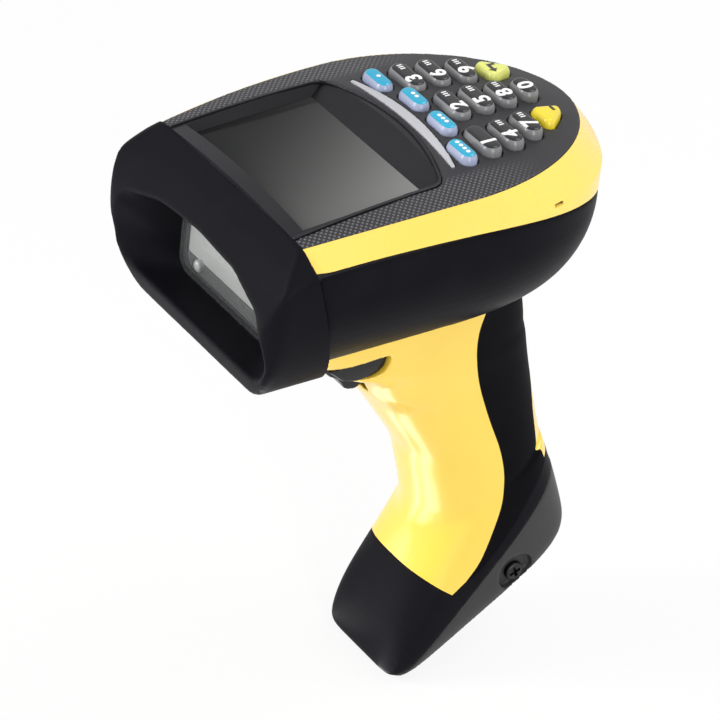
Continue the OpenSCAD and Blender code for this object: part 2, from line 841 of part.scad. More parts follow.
module lamp_board() {
    color(board_green) box([-board_half, bulkhead_y, aimer_z - 2],
        [board_half, bulkhead_y + lamp_t, aimer_z + 3.6]);
}
module aimer_lenses() {
    color("#d8dadc") mirrored() translate([aimer_x, bulkhead_y - 2, aimer_z]) y_rod(aimer_d, 2);
}
module main_board() {
    color(board_green) box([-board_half, board_y[0], board_z], [board_half, board_y[1], board_z + board_t]);
}
module radio_module() {
    color(metal) translate([radio_at[0], radio_at[1], board_z + board_t]) cube(radio_size);
}
module sounder() {
    color(dark) translate([sounder_at[0], sounder_at[1], board_z + board_t])
        cylinder(d = sounder_d, h = sounder_h);
}
module handle_shell() {
    color(yellow) difference() {
        union() {
            intersection() {
                grip_form(skin_t);
                above_cover();
            }
            intersection() {
                grip_form(0);
                union() {
                    front_outline();
                    intersection() {
                        grip_outline();
                        box([-spine_w / 2, -far, -far], [spine_w / 2, far, far]);
                    }
                }
            }
            at_base() box([lug_x[0], lug_u[0], lug_low], [lug_x[1], lug_u[1], lug_top]);
        }
        difference() {
            grip_form(skin_t + handle_wall);
            handle_screw_places() translate([0, 0, head_floor - handle_post_l])
                cylinder(d = handle_post_d, h = far);
            box([-far, handle_posts[0][1] - handle_web / 2, head_floor - handle_post_l],
                [far, handle_posts[0][1] + handle_web / 2, head_floor - handle_post_l + handle_web]);
            box([-handle_web / 2, handle_posts[2][1], head_floor - handle_post_l],
                [handle_web / 2, far, head_floor - handle_post_l + handle_web]);
            at_base() box([lug_x[0], lug_u[0], cover_v(lug_u[0])], [lug_x[2], lug_u[1], lug_top]);
            at_base() box([lug_x[0], lug_u[0], lug_low], [lug_x[1], lug_u[1], lug_top]);
        }
        at_cover_screw() x_rod(screw_d + screw_gap, far);
        handle_screw_places() translate([0, 0, head_floor - handle_post_l + 1])
            cylinder(d = small_screw_d, h = far);
        trigger_slot(hood_front, slot_low, slot_top);
        at_pivot() side_prism(notch_points);
        head_form(0);
    }
}
module grip_left() {
    color(rubber) side_grip(spine_w / 2, far);
}
module grip_right() {
    color(rubber) side_grip(-far, -spine_w / 2);
}
module handle_screws() {
    color(metal) handle_screw_places() translate([0, 0, floor_in]) {
        translate([0, 0, -floor_in + head_floor - handle_post_l + 2])
            cylinder(d = small_screw_d, h = floor_in - head_floor + handle_post_l - 2);
        cylinder(d = screw_head_d, h = screw_head_h);
    }
}
module trigger_housing() {
    color(black) difference() {
        intersection() {
            grip_form(skin_t + handle_wall + fit);
            box([-far, housing_y[0], housing_z[0]], [far, housing_y[1], housing_z[1]]);
        }
        trigger_slot(-far, -far, far);
        at_pivot() side_prism(notch_points);
        at_pivot() x_rod(pin_d, far);
    }
}
module trigger() {
    color(black) at_pivot() difference() {
        rotate([90, 0, 90]) linear_extrude(trigger_w, center = true) {
            polygon(curve(lever_points));
            circle(pivot_r);
        }
        box([-spring_w / 2 - 0.3, -5.5, -4.6], [spring_w / 2 + 0.3, 5.5, 5.5]);
        x_rod(pin_d + 2 * pin_gap, far);
    }
}
module trigger_pin() {
    color(metal) at_pivot() x_rod(pin_d, pin_l);
}
module trigger_spring() {
    color(metal) at_pivot() difference() {
        x_rod(spring_d, spring_w);
        x_rod(pin_d + 0.2, far);
    }
}
module trigger_switch() {
    color(dark) translate([-switch_size[0] / 2, slot_back - switch_size[1], pivot[1] - 14]) cube(switch_size);
}
module battery_cell() {
    color("#3f6fa0") cell_frame() translate([0, 0, cell_low]) cylinder(d = cell_d, h = cell_l);
}
module battery_connector() {
    color(dark) cell_frame() translate([-connector_size[0] / 2, -connector_size[1] / 2, cell_low + cell_l])
        cube(connector_size);
}
module base_boot() {
    color(rubber) intersection() {
        skin();
        base_outline();
        above_cover();
    }
}
module battery_cover() {
    color(dark) difference() {
        intersection() {
            grip_form(0);
            cover_zone();
        }
        difference() {
            intersection() {
                grip_form(cover_wall);
                at_base() above(cover_floor_t);
            }
            at_cover_screw() translate([boss_x + far / 2, 0, 0]) x_rod(pocket_d + 2, far);
        }
        at_cover_screw() {
            x_rod(screw_d + screw_gap, far);
            translate([base_half - pocket_depth + far / 2, 0, 0]) x_rod(pocket_d, far);
            box([base_half - pocket_depth, -pocket_d / 2, -far], [far, pocket_d / 2, 0]);
        }
        at_base() box([lug_x[0] - nut_t - screw_gap, lug_u[0] - screw_gap, nut_floor],
            [boss_x, lug_u[1] + screw_gap, cover_floor_t + 1]);
        at_base() mirrored() translate([contact_x, contact_u, -1]) cylinder(d = contact_d, h = 20);
    }
}
module cover_seal() {
    color(rubber) intersection() {
        difference() {
            grip_form(seal_in);
            grip_form(cover_wall);
        }
        at_base() side_prism([[-20, cover_v(-20)], [far, cover_v(far)], [far, cover_v(far) + seal_t],
            [-20, cover_v(-20) + seal_t]]);
    }
}
module cover_screw() {
    color(metal) at_cover_screw() {
        translate([base_half - pocket_depth, 0, 0]) rotate([0, 90, 0]) cylinder(d = 2 * screw_d, h = 1.8);
        rotate([0, 90, 0]) translate([0, 0, lug_x[0] - nut_t - 0.8])
            cylinder(d = screw_d, h = base_half - pocket_depth - lug_x[0] + nut_t + 0.8);
    }
}
module cover_nut() {
    color(metal) at_cover_screw() difference() {
        box([lug_x[0] - nut_t, -nut_w / 2, -nut_w / 2], [lug_x[0], nut_w / 2, nut_w / 2]);
        x_rod(screw_d, far);
    }
}
module charge_contacts() {
    color("#d9b65a") at_base() mirrored() translate([contact_x, contact_u, 0]) cylinder(d = contact_d, h = 3.4);
}

nose_boot();
scan_window();
window_gasket();
lower_body();
upper_shell();
top_bezel();
display_surround();
display_lens();
display_gasket();
display_module();
display_bracket();
light_bar();
key_f1();
key_f2();
key_f3();
key_f4();
key_1();
key_2();
key_3();
key_4();
key_5();
key_6();
key_7();
key_8();
key_9();
key_clear();
key_0();
key_enter();
keypad_mat();
keypad_board();
keypad_screws();
body_seal();
head_screws();
scan_engine();
imager_lens();
engine_bracket();
lamp_board();
aimer_lenses();
main_board();
radio_module();
sounder();
handle_shell();
grip_left();
grip_right();
handle_screws();
trigger_housing();
trigger();
trigger_pin();
trigger_spring();
trigger_switch();
battery_cell();
battery_connector();
base_boot();
battery_cover();
cover_seal();
cover_screw();
cover_nut();
charge_contacts();
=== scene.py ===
# %% [markdown]
# # An industrial barcode scanner, piece by piece
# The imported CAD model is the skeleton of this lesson. It is loaded first and never moved.
# Every visible skin is then modelled over it in the same frame: metres, +Z up, the nose towards -Y,
# and the side that carries the cover screw towards +X.

# %% Load the frame
import math

import bmesh
import bpy
from mathutils import Euler, Matrix, Vector


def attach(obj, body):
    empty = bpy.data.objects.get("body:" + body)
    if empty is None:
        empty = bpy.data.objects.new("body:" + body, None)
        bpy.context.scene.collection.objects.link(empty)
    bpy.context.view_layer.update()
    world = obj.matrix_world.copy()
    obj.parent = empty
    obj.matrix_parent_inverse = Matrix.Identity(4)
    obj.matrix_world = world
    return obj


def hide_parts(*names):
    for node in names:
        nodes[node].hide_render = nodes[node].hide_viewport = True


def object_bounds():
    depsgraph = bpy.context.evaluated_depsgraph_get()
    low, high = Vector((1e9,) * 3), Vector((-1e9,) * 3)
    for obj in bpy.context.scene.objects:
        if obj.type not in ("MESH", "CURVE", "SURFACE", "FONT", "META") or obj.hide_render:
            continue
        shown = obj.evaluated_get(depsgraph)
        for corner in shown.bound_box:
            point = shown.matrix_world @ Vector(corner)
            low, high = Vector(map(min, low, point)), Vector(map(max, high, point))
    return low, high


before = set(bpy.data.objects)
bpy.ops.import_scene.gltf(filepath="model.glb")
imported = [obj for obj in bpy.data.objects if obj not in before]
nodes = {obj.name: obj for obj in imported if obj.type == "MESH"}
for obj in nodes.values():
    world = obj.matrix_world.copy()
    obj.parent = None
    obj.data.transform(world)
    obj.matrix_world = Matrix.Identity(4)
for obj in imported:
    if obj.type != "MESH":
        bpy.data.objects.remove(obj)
cad_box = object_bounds()
MM = 0.001
print("CAD nodes:", len(nodes), "box:", [[round(v, 4) for v in corner] for corner in cad_box])

# %% [markdown]
# ## The camera
# The picture was taken with a long lens from the front left, a third of the way up to straight above.
# The object's up leans a little to the right, so the camera is rolled. The direction, the roll and the
# distance were fitted so that the outline and the keys fall where the picture has them.

# %% Camera
VIEW_AZIMUTH = math.radians(52.4)
VIEW_ELEVATION = math.radians(33.65)
VIEW_ROLL = math.radians(7.0)
FRAME_PX = 720
FOCAL_PX = 4300
MM_PER_PX = 0.2931
ORIGIN_PX = (463, 440)
SENSOR_MM = 36


def aim_camera():
    """A camera that sees the frame's origin at ORIGIN_PX, from the fitted direction."""
    flat = math.cos(VIEW_ELEVATION)
    back = Vector((math.sin(VIEW_AZIMUTH) * flat, -math.cos(VIEW_AZIMUTH) * flat, math.sin(VIEW_ELEVATION)))
    level = Vector((math.cos(VIEW_AZIMUTH), math.sin(VIEW_AZIMUTH), 0))
    upright = back.cross(level)
    right = level * math.cos(VIEW_ROLL) + upright * math.sin(VIEW_ROLL)
    up = upright * math.cos(VIEW_ROLL) - level * math.sin(VIEW_ROLL)
    distance = FOCAL_PX * MM_PER_PX * MM
    per_px = distance / FOCAL_PX
    eye = back * distance - right * (ORIGIN_PX[0] - FRAME_PX / 2) * per_px
    eye += up * (ORIGIN_PX[1] - FRAME_PX / 2) * per_px
    lens = bpy.data.cameras.new("photo_lens")
    lens.sensor_width = SENSOR_MM
    lens.lens = SENSOR_MM * FOCAL_PX / FRAME_PX
    lens.clip_start = 0.05
    lens.clip_end = 20
    camera = bpy.data.objects.new("photo_camera", lens)
    turn = Matrix((right, up, back)).transposed().to_4x4()
    camera.matrix_world = Matrix.Translation(eye) @ turn
    bpy.context.scene.collection.objects.link(camera)
    bpy.context.scene.camera = camera
    return eye


print("camera at", [round(v, 3) for v in aim_camera()])

# %% [markdown]
# ## Small node helpers
# The world, the floor and every finish are wired from the same few shader nodes. Each helper makes one node and
# feeds it.

# %% Node helpers


def feed(tree, socket, value):
    """Links a socket to another one, or sets a number or an RGB colour."""
    if hasattr(value, "is_linked"):
        tree.links.new(value, socket)
    else:
        socket.default_value = (*value, 1) if isinstance(value, tuple) else value


def math_node(tree, operation, *operands):
    node = tree.nodes.new("ShaderNodeMath")
    node.operation = operation
    for socket, value in zip(node.inputs, operands):
        feed(tree, socket, value)
    return node.outputs[0]


def noise_node(tree, place, scale, detail):
    node = tree.nodes.new("ShaderNodeTexNoise")
    for label, value in (("Detail", detail), ("Vector", place), ("Scale", scale)):
        feed(tree, node.inputs[label], value)
    return node.outputs["Fac"]


def range_node(tree, value, low, high, to_low=0.0, to_high=1.0):
    """A clamped Map Range."""
    node = tree.nodes.new("ShaderNodeMapRange")
    labels = ("Value", "From Min", "From Max", "To Min", "To Max")
    for label, given in zip(labels, (value, low, high, to_low, to_high)):
        feed(tree, node.inputs[label], given)
    return node.outputs["Result"]


def mix_colour(tree, share, first, second):
    """A colour mix; colours are sockets or RGB."""
    node = tree.nodes.new("ShaderNodeMix")
    node.data_type = "RGBA"
    for slot, value in ((0, share), (6, first), (7, second)):
        feed(tree, node.inputs[slot], value)
    return node.outputs[2]


def object_place(tree):
    return tree.nodes.new("ShaderNodeTexCoord").outputs["Object"]


def object_xy(tree):
    """X and Y of the Object coordinates."""
    split = tree.nodes.new("ShaderNodeSeparateXYZ")
    tree.links.new(object_place(tree), split.inputs[0])
    return split.outputs["X"], split.outputs["Y"]


print("node helpers ready")

# %% [markdown]
# ## Light and floor
# A product picture on white needs broad, soft light. Tall panels stand in front and at the side, a wide one
# hangs above, and three small ones lie low in front, because the handle's front leans down and mirrors what
# is near the floor; two of them add gloss alone. The world fills the rest at a low level, so the blacks stay
# black. The floor is white to the camera and still takes a soft shadow.

# %% Studio
PANELS = [
    # name, place, target, width, height, watts
    ("front_panel", (-0.5, -1.1, 0.6), (0, -0.03, 0.02), 0.4, 0.9, 13),
    ("side_panel", (1.2, -0.3, 0.5), (0, -0.02, 0.03), 0.3, 0.9, 8),
    ("top_panel", (0.25, 0.7, 1.25), (0, -0.02, 0.08), 1.0, 0.8, 11),
    ("low_panel", (-0.12, -0.2, -0.062), (0, -0.01, 0.0), 0.07, 0.2, 0.12),
    ("gloss_panel_thin", (-0.036, -0.07, -0.0655), (-0.031, -0.0614, 0.05), 0.014, 0.085, 0.014),
    ("gloss_panel_wide", (0.004, -0.066, -0.0655), (0.009, -0.0574, 0.05), 0.028, 0.075, 0.03),
]
GLOSS_ONLY = ("gloss_panel_thin", "gloss_panel_wide")
FILL = 0.42
FLOOR_DROP, FLOOR_SIZE, FLOOR_GLOW = 0.0006, 8, 0.88


def put_panel(name, place, target, width, height, watts):
    """A rectangular soft light that faces a target."""
    light = bpy.data.lights.new(name, "AREA")
    light.shape = "RECTANGLE"
    light.size = width
    light.size_y = height
    light.energy = watts
    panel = bpy.data.objects.new(name, light)
    panel.location = place
    panel.rotation_euler = (Vector(target) - Vector(place)).to_track_quat("-Z", "Y").to_euler()
    panel.visible_camera = False
    panel.visible_diffuse = name not in GLOSS_ONLY
    bpy.context.scene.collection.objects.link(panel)


def white_to_the_eye(tree, dim, bright):
    """Mixes in plain white for the camera and for what mirrors and glass see; the light itself stays dim."""
    path = tree.nodes.new("ShaderNodeLightPath")
    seen = path.outputs["Is Camera Ray"]
    for label in ("Is Glossy Ray", "Is Transmission Ray"):
        seen = math_node(tree, "MAXIMUM", seen, path.outputs[label])
    return range_node(tree, seen, 0.0, 1.0, dim, bright)


def light_world():
    """A dim white surround that the camera sees as white."""
    world = bpy.data.worlds.new("studio_white")
    world.use_nodes = True
    tree = world.node_tree
    background = tree.nodes["Background"]
    background.inputs["Color"].default_value = (1, 1, 1, 1)
    tree.links.new(white_to_the_eye(tree, FILL, 1.0), background.inputs["Strength"])
    bpy.context.scene.world = world


def lay_floor():
    """A wide floor just under the object, white to the camera with a soft shadow in it."""
    bpy.ops.object.select_all(action="DESELECT")
    low = cad_box[0][2] - FLOOR_DROP
    bpy.ops.mesh.primitive_plane_add(size=FLOOR_SIZE, location=(0, 0, low))
    floor = bpy.context.object
    floor.name = "studio_floor"
    paint = bpy.data.materials.new("floor_white")
    paint.use_nodes = True
    tree = paint.node_tree
    tree.nodes.clear()
    out = tree.nodes.new("ShaderNodeOutputMaterial")
    matt = tree.nodes.new("ShaderNodeBsdfDiffuse")
    matt.inputs["Color"].default_value = (0.82, 0.82, 0.82, 1)
    glow = tree.nodes.new("ShaderNodeEmission")
    mix = tree.nodes.new("ShaderNodeMixShader")
    tree.links.new(white_to_the_eye(tree, 0.0, FLOOR_GLOW), mix.inputs["Fac"])
    tree.links.new(matt.outputs[0], mix.inputs[1])
    tree.links.new(glow.outputs[0], mix.inputs[2])
    tree.links.new(mix.outputs[0], out.inputs["Surface"])
    floor.data.materials.append(paint)


bpy.context.scene.view_settings.view_transform = "Standard"
light_world()
lay_floor()
for panel in PANELS:
    put_panel(*panel)
print("studio panels:", len(PANELS))

# %% [markdown]
# ## Shared surface effects
# Moulded plastic is never one flat colour. Three small node groups are built once and placed in many
# materials: a fine grain with slow colour and gloss drift, rows of raised dots, and the faint smears
# that hands leave. Each reads Object coordinates, so the pattern stays at its real size on every piece.

# %% Node groups


def new_group(name, inputs, outputs):
    """An empty shader group with named sockets; an input is (name, value)."""
    group = bpy.data.node_groups.new(name, "ShaderNodeTree")
    for label, value in inputs:
        socket = group.interface.new_socket(name=label, in_out="INPUT", socket_type="NodeSocketFloat")
        socket.default_value = value
    for label in outputs:
        group.interface.new_socket(name=label, in_out="OUTPUT", socket_type="NodeSocketFloat")
    return group, group.nodes.new("NodeGroupInput"), group.nodes.new("NodeGroupOutput")


def moulded_grain():
    """Fine grain height, with a slow drift of tone and of roughness."""
    inputs = [("Grain", 1800), ("Smooth", 0.3), ("Rough", 0.45)]
    group, into, out = new_group("moulded grain", inputs, ["Height", "Tone", "Roughness"])
    place = object_place(group)
    fine = noise_node(group, place, into.outputs["Grain"], 3)
    slow = noise_node(group, place, 38, 4)
    group.links.new(fine, out.inputs["Height"])
    group.links.new(range_node(group, slow, 0.32, 0.68), out.inputs["Tone"])
    both = math_node(group, "MULTIPLY_ADD", fine, 0.35, math_node(group, "MULTIPLY", slow, 0.65))
    gloss = range_node(group, both, 0.35, 0.65, into.outputs["Smooth"], into.outputs["Rough"])
    group.links.new(gloss, out.inputs["Roughness"])
    return group


def dot_rows():
    """Rows of small raised dots at a given pitch in metres, seen along Z."""
    group, into, out = new_group("dot rows", [("Pitch", 0.0009)], ["Dots"])
    turns = math_node(group, "DIVIDE", 2 * math.pi, into.outputs["Pitch"])
    waves = [math_node(group, "SINE", math_node(group, "MULTIPLY", axis, turns)) for axis in object_xy(group)]
    product = math_node(group, "MULTIPLY", *waves)
    group.links.new(range_node(group, product, 0.15, 0.75), out.inputs["Dots"])
    return group


def hand_smears():
    """Broad faint marks, 0 to 1, where hands have polished or dulled a surface."""
    group, into, out = new_group("hand smears", [("Size", 0.02), ("Amount", 0.5)], ["Smear"])
    scale = math_node(group, "DIVIDE", 1.0, into.outputs["Size"])
    mask = range_node(group, noise_node(group, object_place(group), scale, 6), 0.48, 0.72)
    group.links.new(math_node(group, "MULTIPLY", mask, into.outputs["Amount"]), out.inputs["Smear"])
    return group


GRAIN = moulded_grain()
DOTS = dot_rows()
SMEARS = hand_smears()
print("shared groups:", [g.name for g in (GRAIN, DOTS, SMEARS)])

# %% [markdown]
# ## Finishes
# One recipe serves all moulded parts: two close colours mixed by the grain group's slow tone, its
# roughness, a bump from its height, and the smears on top. Constants such as specular level, coat
# and metal go straight on the shader.

# %% Moulded finish recipe
COAT_ROUGHNESS, SMEAR_SIZE, SMEAR_DULLS = 0.2, 0.018, 0.12


def place_group(tree, group, **values):
    """A shared group in a material, with its own values."""
    node = tree.nodes.new("ShaderNodeGroup")
    node.node_tree = group
    for label, value in values.items():
        node.inputs[label].default_value = value
    return node


def bump_node(tree, height, strength, depth):
    """A Bump node for a height of 0 to 1 that stands depth metres tall."""
    node = tree.nodes.new("ShaderNodeBump")
    node.inputs["Strength"].default_value = strength
    node.inputs["Distance"].default_value = depth
    tree.links.new(height, node.inputs["Height"])
    return node


def moulded(name, colour, second, smooth, rough, grain=1800, bump=0.12, depth=0.00006, smear=0.25,
            specular=0.4, metallic=0.0, coat=0.0):
    """A moulded finish, returned with the nodes that additions need."""
    material = bpy.data.materials.new(name)
    material.use_nodes = True
    tree = material.node_tree
    shader = tree.nodes["Principled BSDF"]
    for label, value in (("Specular IOR Level", specular), ("Metallic", metallic), ("Coat Weight", coat),
                         ("Coat Roughness", COAT_ROUGHNESS)):
        shader.inputs[label].default_value = value
    surface = place_group(tree, GRAIN, Grain=grain, Smooth=smooth, Rough=rough)
    marks = place_group(tree, SMEARS, Size=SMEAR_SIZE, Amount=smear)
    tone = mix_colour(tree, surface.outputs["Tone"], colour, second)
    worn = tuple(min(1.0, c * 1.12 + 0.006) for c in second)
    shade = mix_colour(tree, marks.outputs["Smear"], tone, worn)
    tree.links.new(shade, shader.inputs["Base Color"])
    dull = math_node(tree, "MULTIPLY_ADD", marks.outputs["Smear"], SMEAR_DULLS, surface.outputs["Roughness"])
    tree.links.new(dull, shader.inputs["Roughness"])
    relief = bump_node(tree, surface.outputs["Height"], bump, depth)
    tree.links.new(relief.outputs["Normal"], shader.inputs["Normal"])
    return {"material": material, "tree": tree, "shader": shader, "shade": shade, "relief": relief}


def tint(finish, share, colour):
    """Mixes one more colour into a finish."""
    lit = mix_colour(finish["tree"], share, finish["shade"], colour)
    finish["tree"].links.new(lit, finish["shader"].inputs["Base Color"])


print("finish recipe ready")

# %% [markdown]
# The shell colours: two warm yellows with a soft gloss, blacks that differ in grain and sheen, and the dark
# grey of the base cover.

# %% Shell finishes
YELLOW = moulded("yellow_shell", (0.93, 0.635, 0.062), (0.90, 0.60, 0.052), 0.30, 0.40, grain=2600,
                 bump=0.05, smear=0.12, specular=0.5, coat=0.7)
BAND = moulded("yellow_band", (0.93, 0.67, 0.125), (0.91, 0.65, 0.11), 0.24, 0.34, grain=2600,
               bump=0.05, smear=0.1, specular=0.5, coat=0.15)
BODY = moulded("body_black", (0.0056, 0.0053, 0.0074), (0.0070, 0.0066, 0.0090), 0.36, 0.48, specular=0.03)
BOOT = moulded("boot_rubber", (0.0066, 0.0063, 0.0085), (0.0083, 0.0079, 0.0104), 0.40, 0.52, grain=1400,
               bump=0.18, specular=0.03)
GRIP = moulded("grip_rubber", (0.0036, 0.0034, 0.0046), (0.0046, 0.0044, 0.0058), 0.48, 0.60, grain=1500,
               bump=0.22, specular=0.02)
SURROUND = moulded("surround_black", (0.0095, 0.0092, 0.0116), (0.012, 0.0116, 0.0142), 0.28, 0.40,
                   specular=0.2)
COVER = moulded("cover_grey", (0.030, 0.030, 0.031), (0.037, 0.037, 0.038), 0.42, 0.55, specular=0.25)
TRIGGER = moulded("trigger_black", (0.008, 0.0078, 0.009), (0.010, 0.0097, 0.011), 0.22, 0.34, specular=0.3)
SEAL = moulded("seal_rubber", (0.008, 0.008, 0.009), (0.011, 0.011, 0.012), 0.55, 0.7, specular=0.12)
print("shell finishes ready")

# %% [markdown]
# The black top has rows of fine raised dots on its margins. The dots are lighter than the black between them,
# so the mask feeds both the colour and the bump. It is cut off inside the display's ground by the distance
# from the middle line, and it fades out beside the keys.

# %% Dotted top
DOT_PITCH, DOT_COLOUR = 0.0017, (0.14, 0.14, 0.15)
# metres from the middle line where the dots begin, and the Y where they fade out
DOT_MARGIN, DOT_REAR = (0.0275, 0.0305), (-0.030, -0.012)


def dotted_top():
    """The top's black with raised dots outside the display and the keys."""
    finish = moulded("bezel_black", (0.020, 0.0195, 0.0225), (0.025, 0.0243, 0.0275), 0.40, 0.52, specular=0.25)
    tree = finish["tree"]
    dots = place_group(tree, DOTS, Pitch=DOT_PITCH)
    x, y = object_xy(tree)
    margin = range_node(tree, math_node(tree, "ABSOLUTE", x), *DOT_MARGIN)
    zone = math_node(tree, "MULTIPLY", margin, range_node(tree, y, *DOT_REAR, 1.0, 0.0))
    shown = math_node(tree, "MULTIPLY", dots.outputs["Dots"], zone)
    tint(finish, shown, DOT_COLOUR)
    raised = bump_node(tree, shown, 0.6, 0.00018)
    tree.links.new(finish["relief"].outputs["Normal"], raised.inputs["Normal"])
    tree.links.new(raised.outputs["Normal"], finish["shader"].inputs["Normal"])
    return finish


BEZEL = dotted_top()
print("dotted top ready")

# %% [markdown]
# The keys are milky mouldings with painted tops: the sides are grey under the dark digits and pale lilac
# under the blue. The two corner keys are moulded through in yellow and in lime.

# %% Key and print finishes
KEY_SIDE = moulded("key_side_grey", (0.17, 0.17, 0.175), (0.21, 0.21, 0.215), 0.24, 0.36, bump=0.04,
                   specular=0.5)
KEY_TOP = moulded("key_top_dark", (0.016, 0.0155, 0.018), (0.021, 0.0205, 0.023), 0.14, 0.24, bump=0.03,
                  specular=0.3)
BLUE_SIDE = moulded("key_side_lilac", (0.30, 0.34, 0.49), (0.37, 0.41, 0.55), 0.22, 0.34, bump=0.04,
                    specular=0.5)
BLUE_TOP = moulded("key_top_blue", (0.009, 0.32, 0.50), (0.012, 0.37, 0.56), 0.12, 0.22, bump=0.03,
                   specular=0.5)
AMBER = moulded("key_amber", (0.80, 0.62, 0.030), (0.84, 0.68, 0.045), 0.2, 0.32, specular=0.5)
LIME = moulded("key_lime", (0.66, 0.69, 0.15), (0.72, 0.75, 0.20), 0.2, 0.32, specular=0.5)
PRINT = moulded("print_white", (0.82, 0.82, 0.82), (0.88, 0.88, 0.87), 0.35, 0.5)
PRINT_DARK = moulded("print_dark", (0.03, 0.028, 0.025), (0.045, 0.04, 0.035), 0.35, 0.5)
LIGHT_GUIDE = moulded("light_guide_milk", (0.40, 0.40, 0.425), (0.46, 0.46, 0.485), 0.28, 0.38, bump=0.04,
                      specular=0.5)
print("key finishes ready")

# %% [markdown]
# Most inside pieces are seen only when the part is taken apart, but they still get honest finishes: coated
# circuit boards with faint tracks, bare sheet, plated screws, a sleeved cell and gold contacts. The lamps glow
# a little, and the reflector and the lamp plate behind the window glow too: painted light, since they are no
# lamps.

# %% Inner finishes


def circuit_board():
    """Green solder mask with faint lighter tracks in a square maze."""
    finish = moulded("circuit_board", (0.012, 0.090, 0.035), (0.016, 0.110, 0.045), 0.3, 0.4, specular=0.5)
    tree = finish["tree"]
    cells = tree.nodes.new("ShaderNodeTexBrick")
    cells.inputs["Scale"].default_value = 260
    cells.inputs["Mortar Size"].default_value = 0.03
    tree.links.new(object_place(tree), cells.inputs["Vector"])
    tint(finish, cells.outputs["Fac"], (0.06, 0.24, 0.09))
    return finish


BOARD = circuit_board()
DARK_STEEL = moulded("screw_black", (0.030, 0.030, 0.032), (0.045, 0.045, 0.048), 0.3, 0.45, grain=900,
                     metallic=1.0)
STEEL = moulded("screw_steel", (0.36, 0.37, 0.39), (0.42, 0.43, 0.45), 0.28, 0.42, grain=900, metallic=1.0)
SHEET = moulded("sheet_metal", (0.55, 0.56, 0.58), (0.62, 0.63, 0.65), 0.3, 0.45, grain=700, metallic=1.0)
BRASS = moulded("contact_gold", (0.72, 0.50, 0.17), (0.78, 0.56, 0.21), 0.2, 0.32, grain=900, metallic=1.0)
MODULE = moulded("module_black", (0.018, 0.018, 0.02), (0.024, 0.024, 0.026), 0.4, 0.55)
SLEEVE = moulded("cell_sleeve_blue", (0.03, 0.11, 0.26), (0.04, 0.13, 0.3), 0.25, 0.35, specular=0.5)
LAMP_LENS = moulded("lamp_lens_clear", (0.36, 0.38, 0.38), (0.42, 0.44, 0.44), 0.12, 0.2, bump=0.02,
                    specular=0.6)
LAMP_PLATE_WITH_PAINTED_GLOW = moulded("lamp_plate_grey_painted_glow", (0.045, 0.048, 0.048), (0.055, 0.058, 0.058), 0.4, 0.5, bump=0.02)
REFLECTOR_WITH_PAINTED_GLOW = moulded("reflector_grey_painted_glow", (0.34, 0.35, 0.34), (0.39, 0.40, 0.39), 0.35, 0.45, bump=0.02)
# painted glow: the reflector and the lamp plate are no lamps; only the lamp lenses are
for finish, glow in ((LAMP_LENS, 0.03), (LAMP_PLATE_WITH_PAINTED_GLOW, 0.03), (REFLECTOR_WITH_PAINTED_GLOW, 0.1)):
    finish["shader"].inputs["Emission Color"].default_value = (0.97, 1.0, 0.97, 1)
    finish["shader"].inputs["Emission Strength"].default_value = glow
print("inner finishes ready")

# %% [markdown]
# Two clear parts are left. The display lens is smoked dark, and a painted reflection lies in its colour: a slow
# ramp that pales towards the rear on the near side. The scan window is a thin clear
# pane: a low alpha shows the reflector and the lamps behind it and keeps the pane's own gloss.

# %% Clear finishes
# metres along the painted reflection's diagonal between dark and pale, and how late it pales
REFLECTION_RAMP, REFLECTION_RAMP_POWER, PAINTED_REFLECTION_COLOUR = (-0.068, -0.006), 2.3, (0.24, 0.242, 0.236)
PANE_ALPHA = 0.12


def smoked_lens_with_painted_reflection():
    """A glossy dark pane with a painted reflection in its colour: a soft diagonal ramp to paler grey."""
    finish = moulded("display_lens", (0.008, 0.0082, 0.0082), (0.010, 0.0102, 0.0102), 0.10, 0.16, grain=600,
                     bump=0.0, smear=0.05, specular=0.08)
    tree = finish["tree"]
    x, y = object_xy(tree)
    along = math_node(tree, "MULTIPLY_ADD", x, 0.75, math_node(tree, "MULTIPLY", y, 0.55))
    curve = math_node(tree, "POWER", range_node(tree, along, *REFLECTION_RAMP), REFLECTION_RAMP_POWER)
    # painted reflection: the pale ramp is mixed into the lens colour
    tint(finish, curve, PAINTED_REFLECTION_COLOUR)
    return finish


def clear_pane():
    """A thin clear window."""
    finish = moulded("scan_window_clear", (0.30, 0.31, 0.31), (0.34, 0.35, 0.35), 0.03, 0.06, grain=500,
                     bump=0.0, smear=0.05, specular=0.3)
    finish["shader"].inputs["Alpha"].default_value = PANE_ALPHA
    return finish


LENS_WITH_PAINTED_REFLECTION = smoked_lens_with_painted_reflection()
WINDOW = clear_pane()
print("clear finishes ready")

# %% [markdown]
# ## Finishes on the CAD nodes
# Every CAD node gets its finish first, so nothing is left plain; what isn't listed is a key. Most outer shells
# are replaced by finer skins further down.

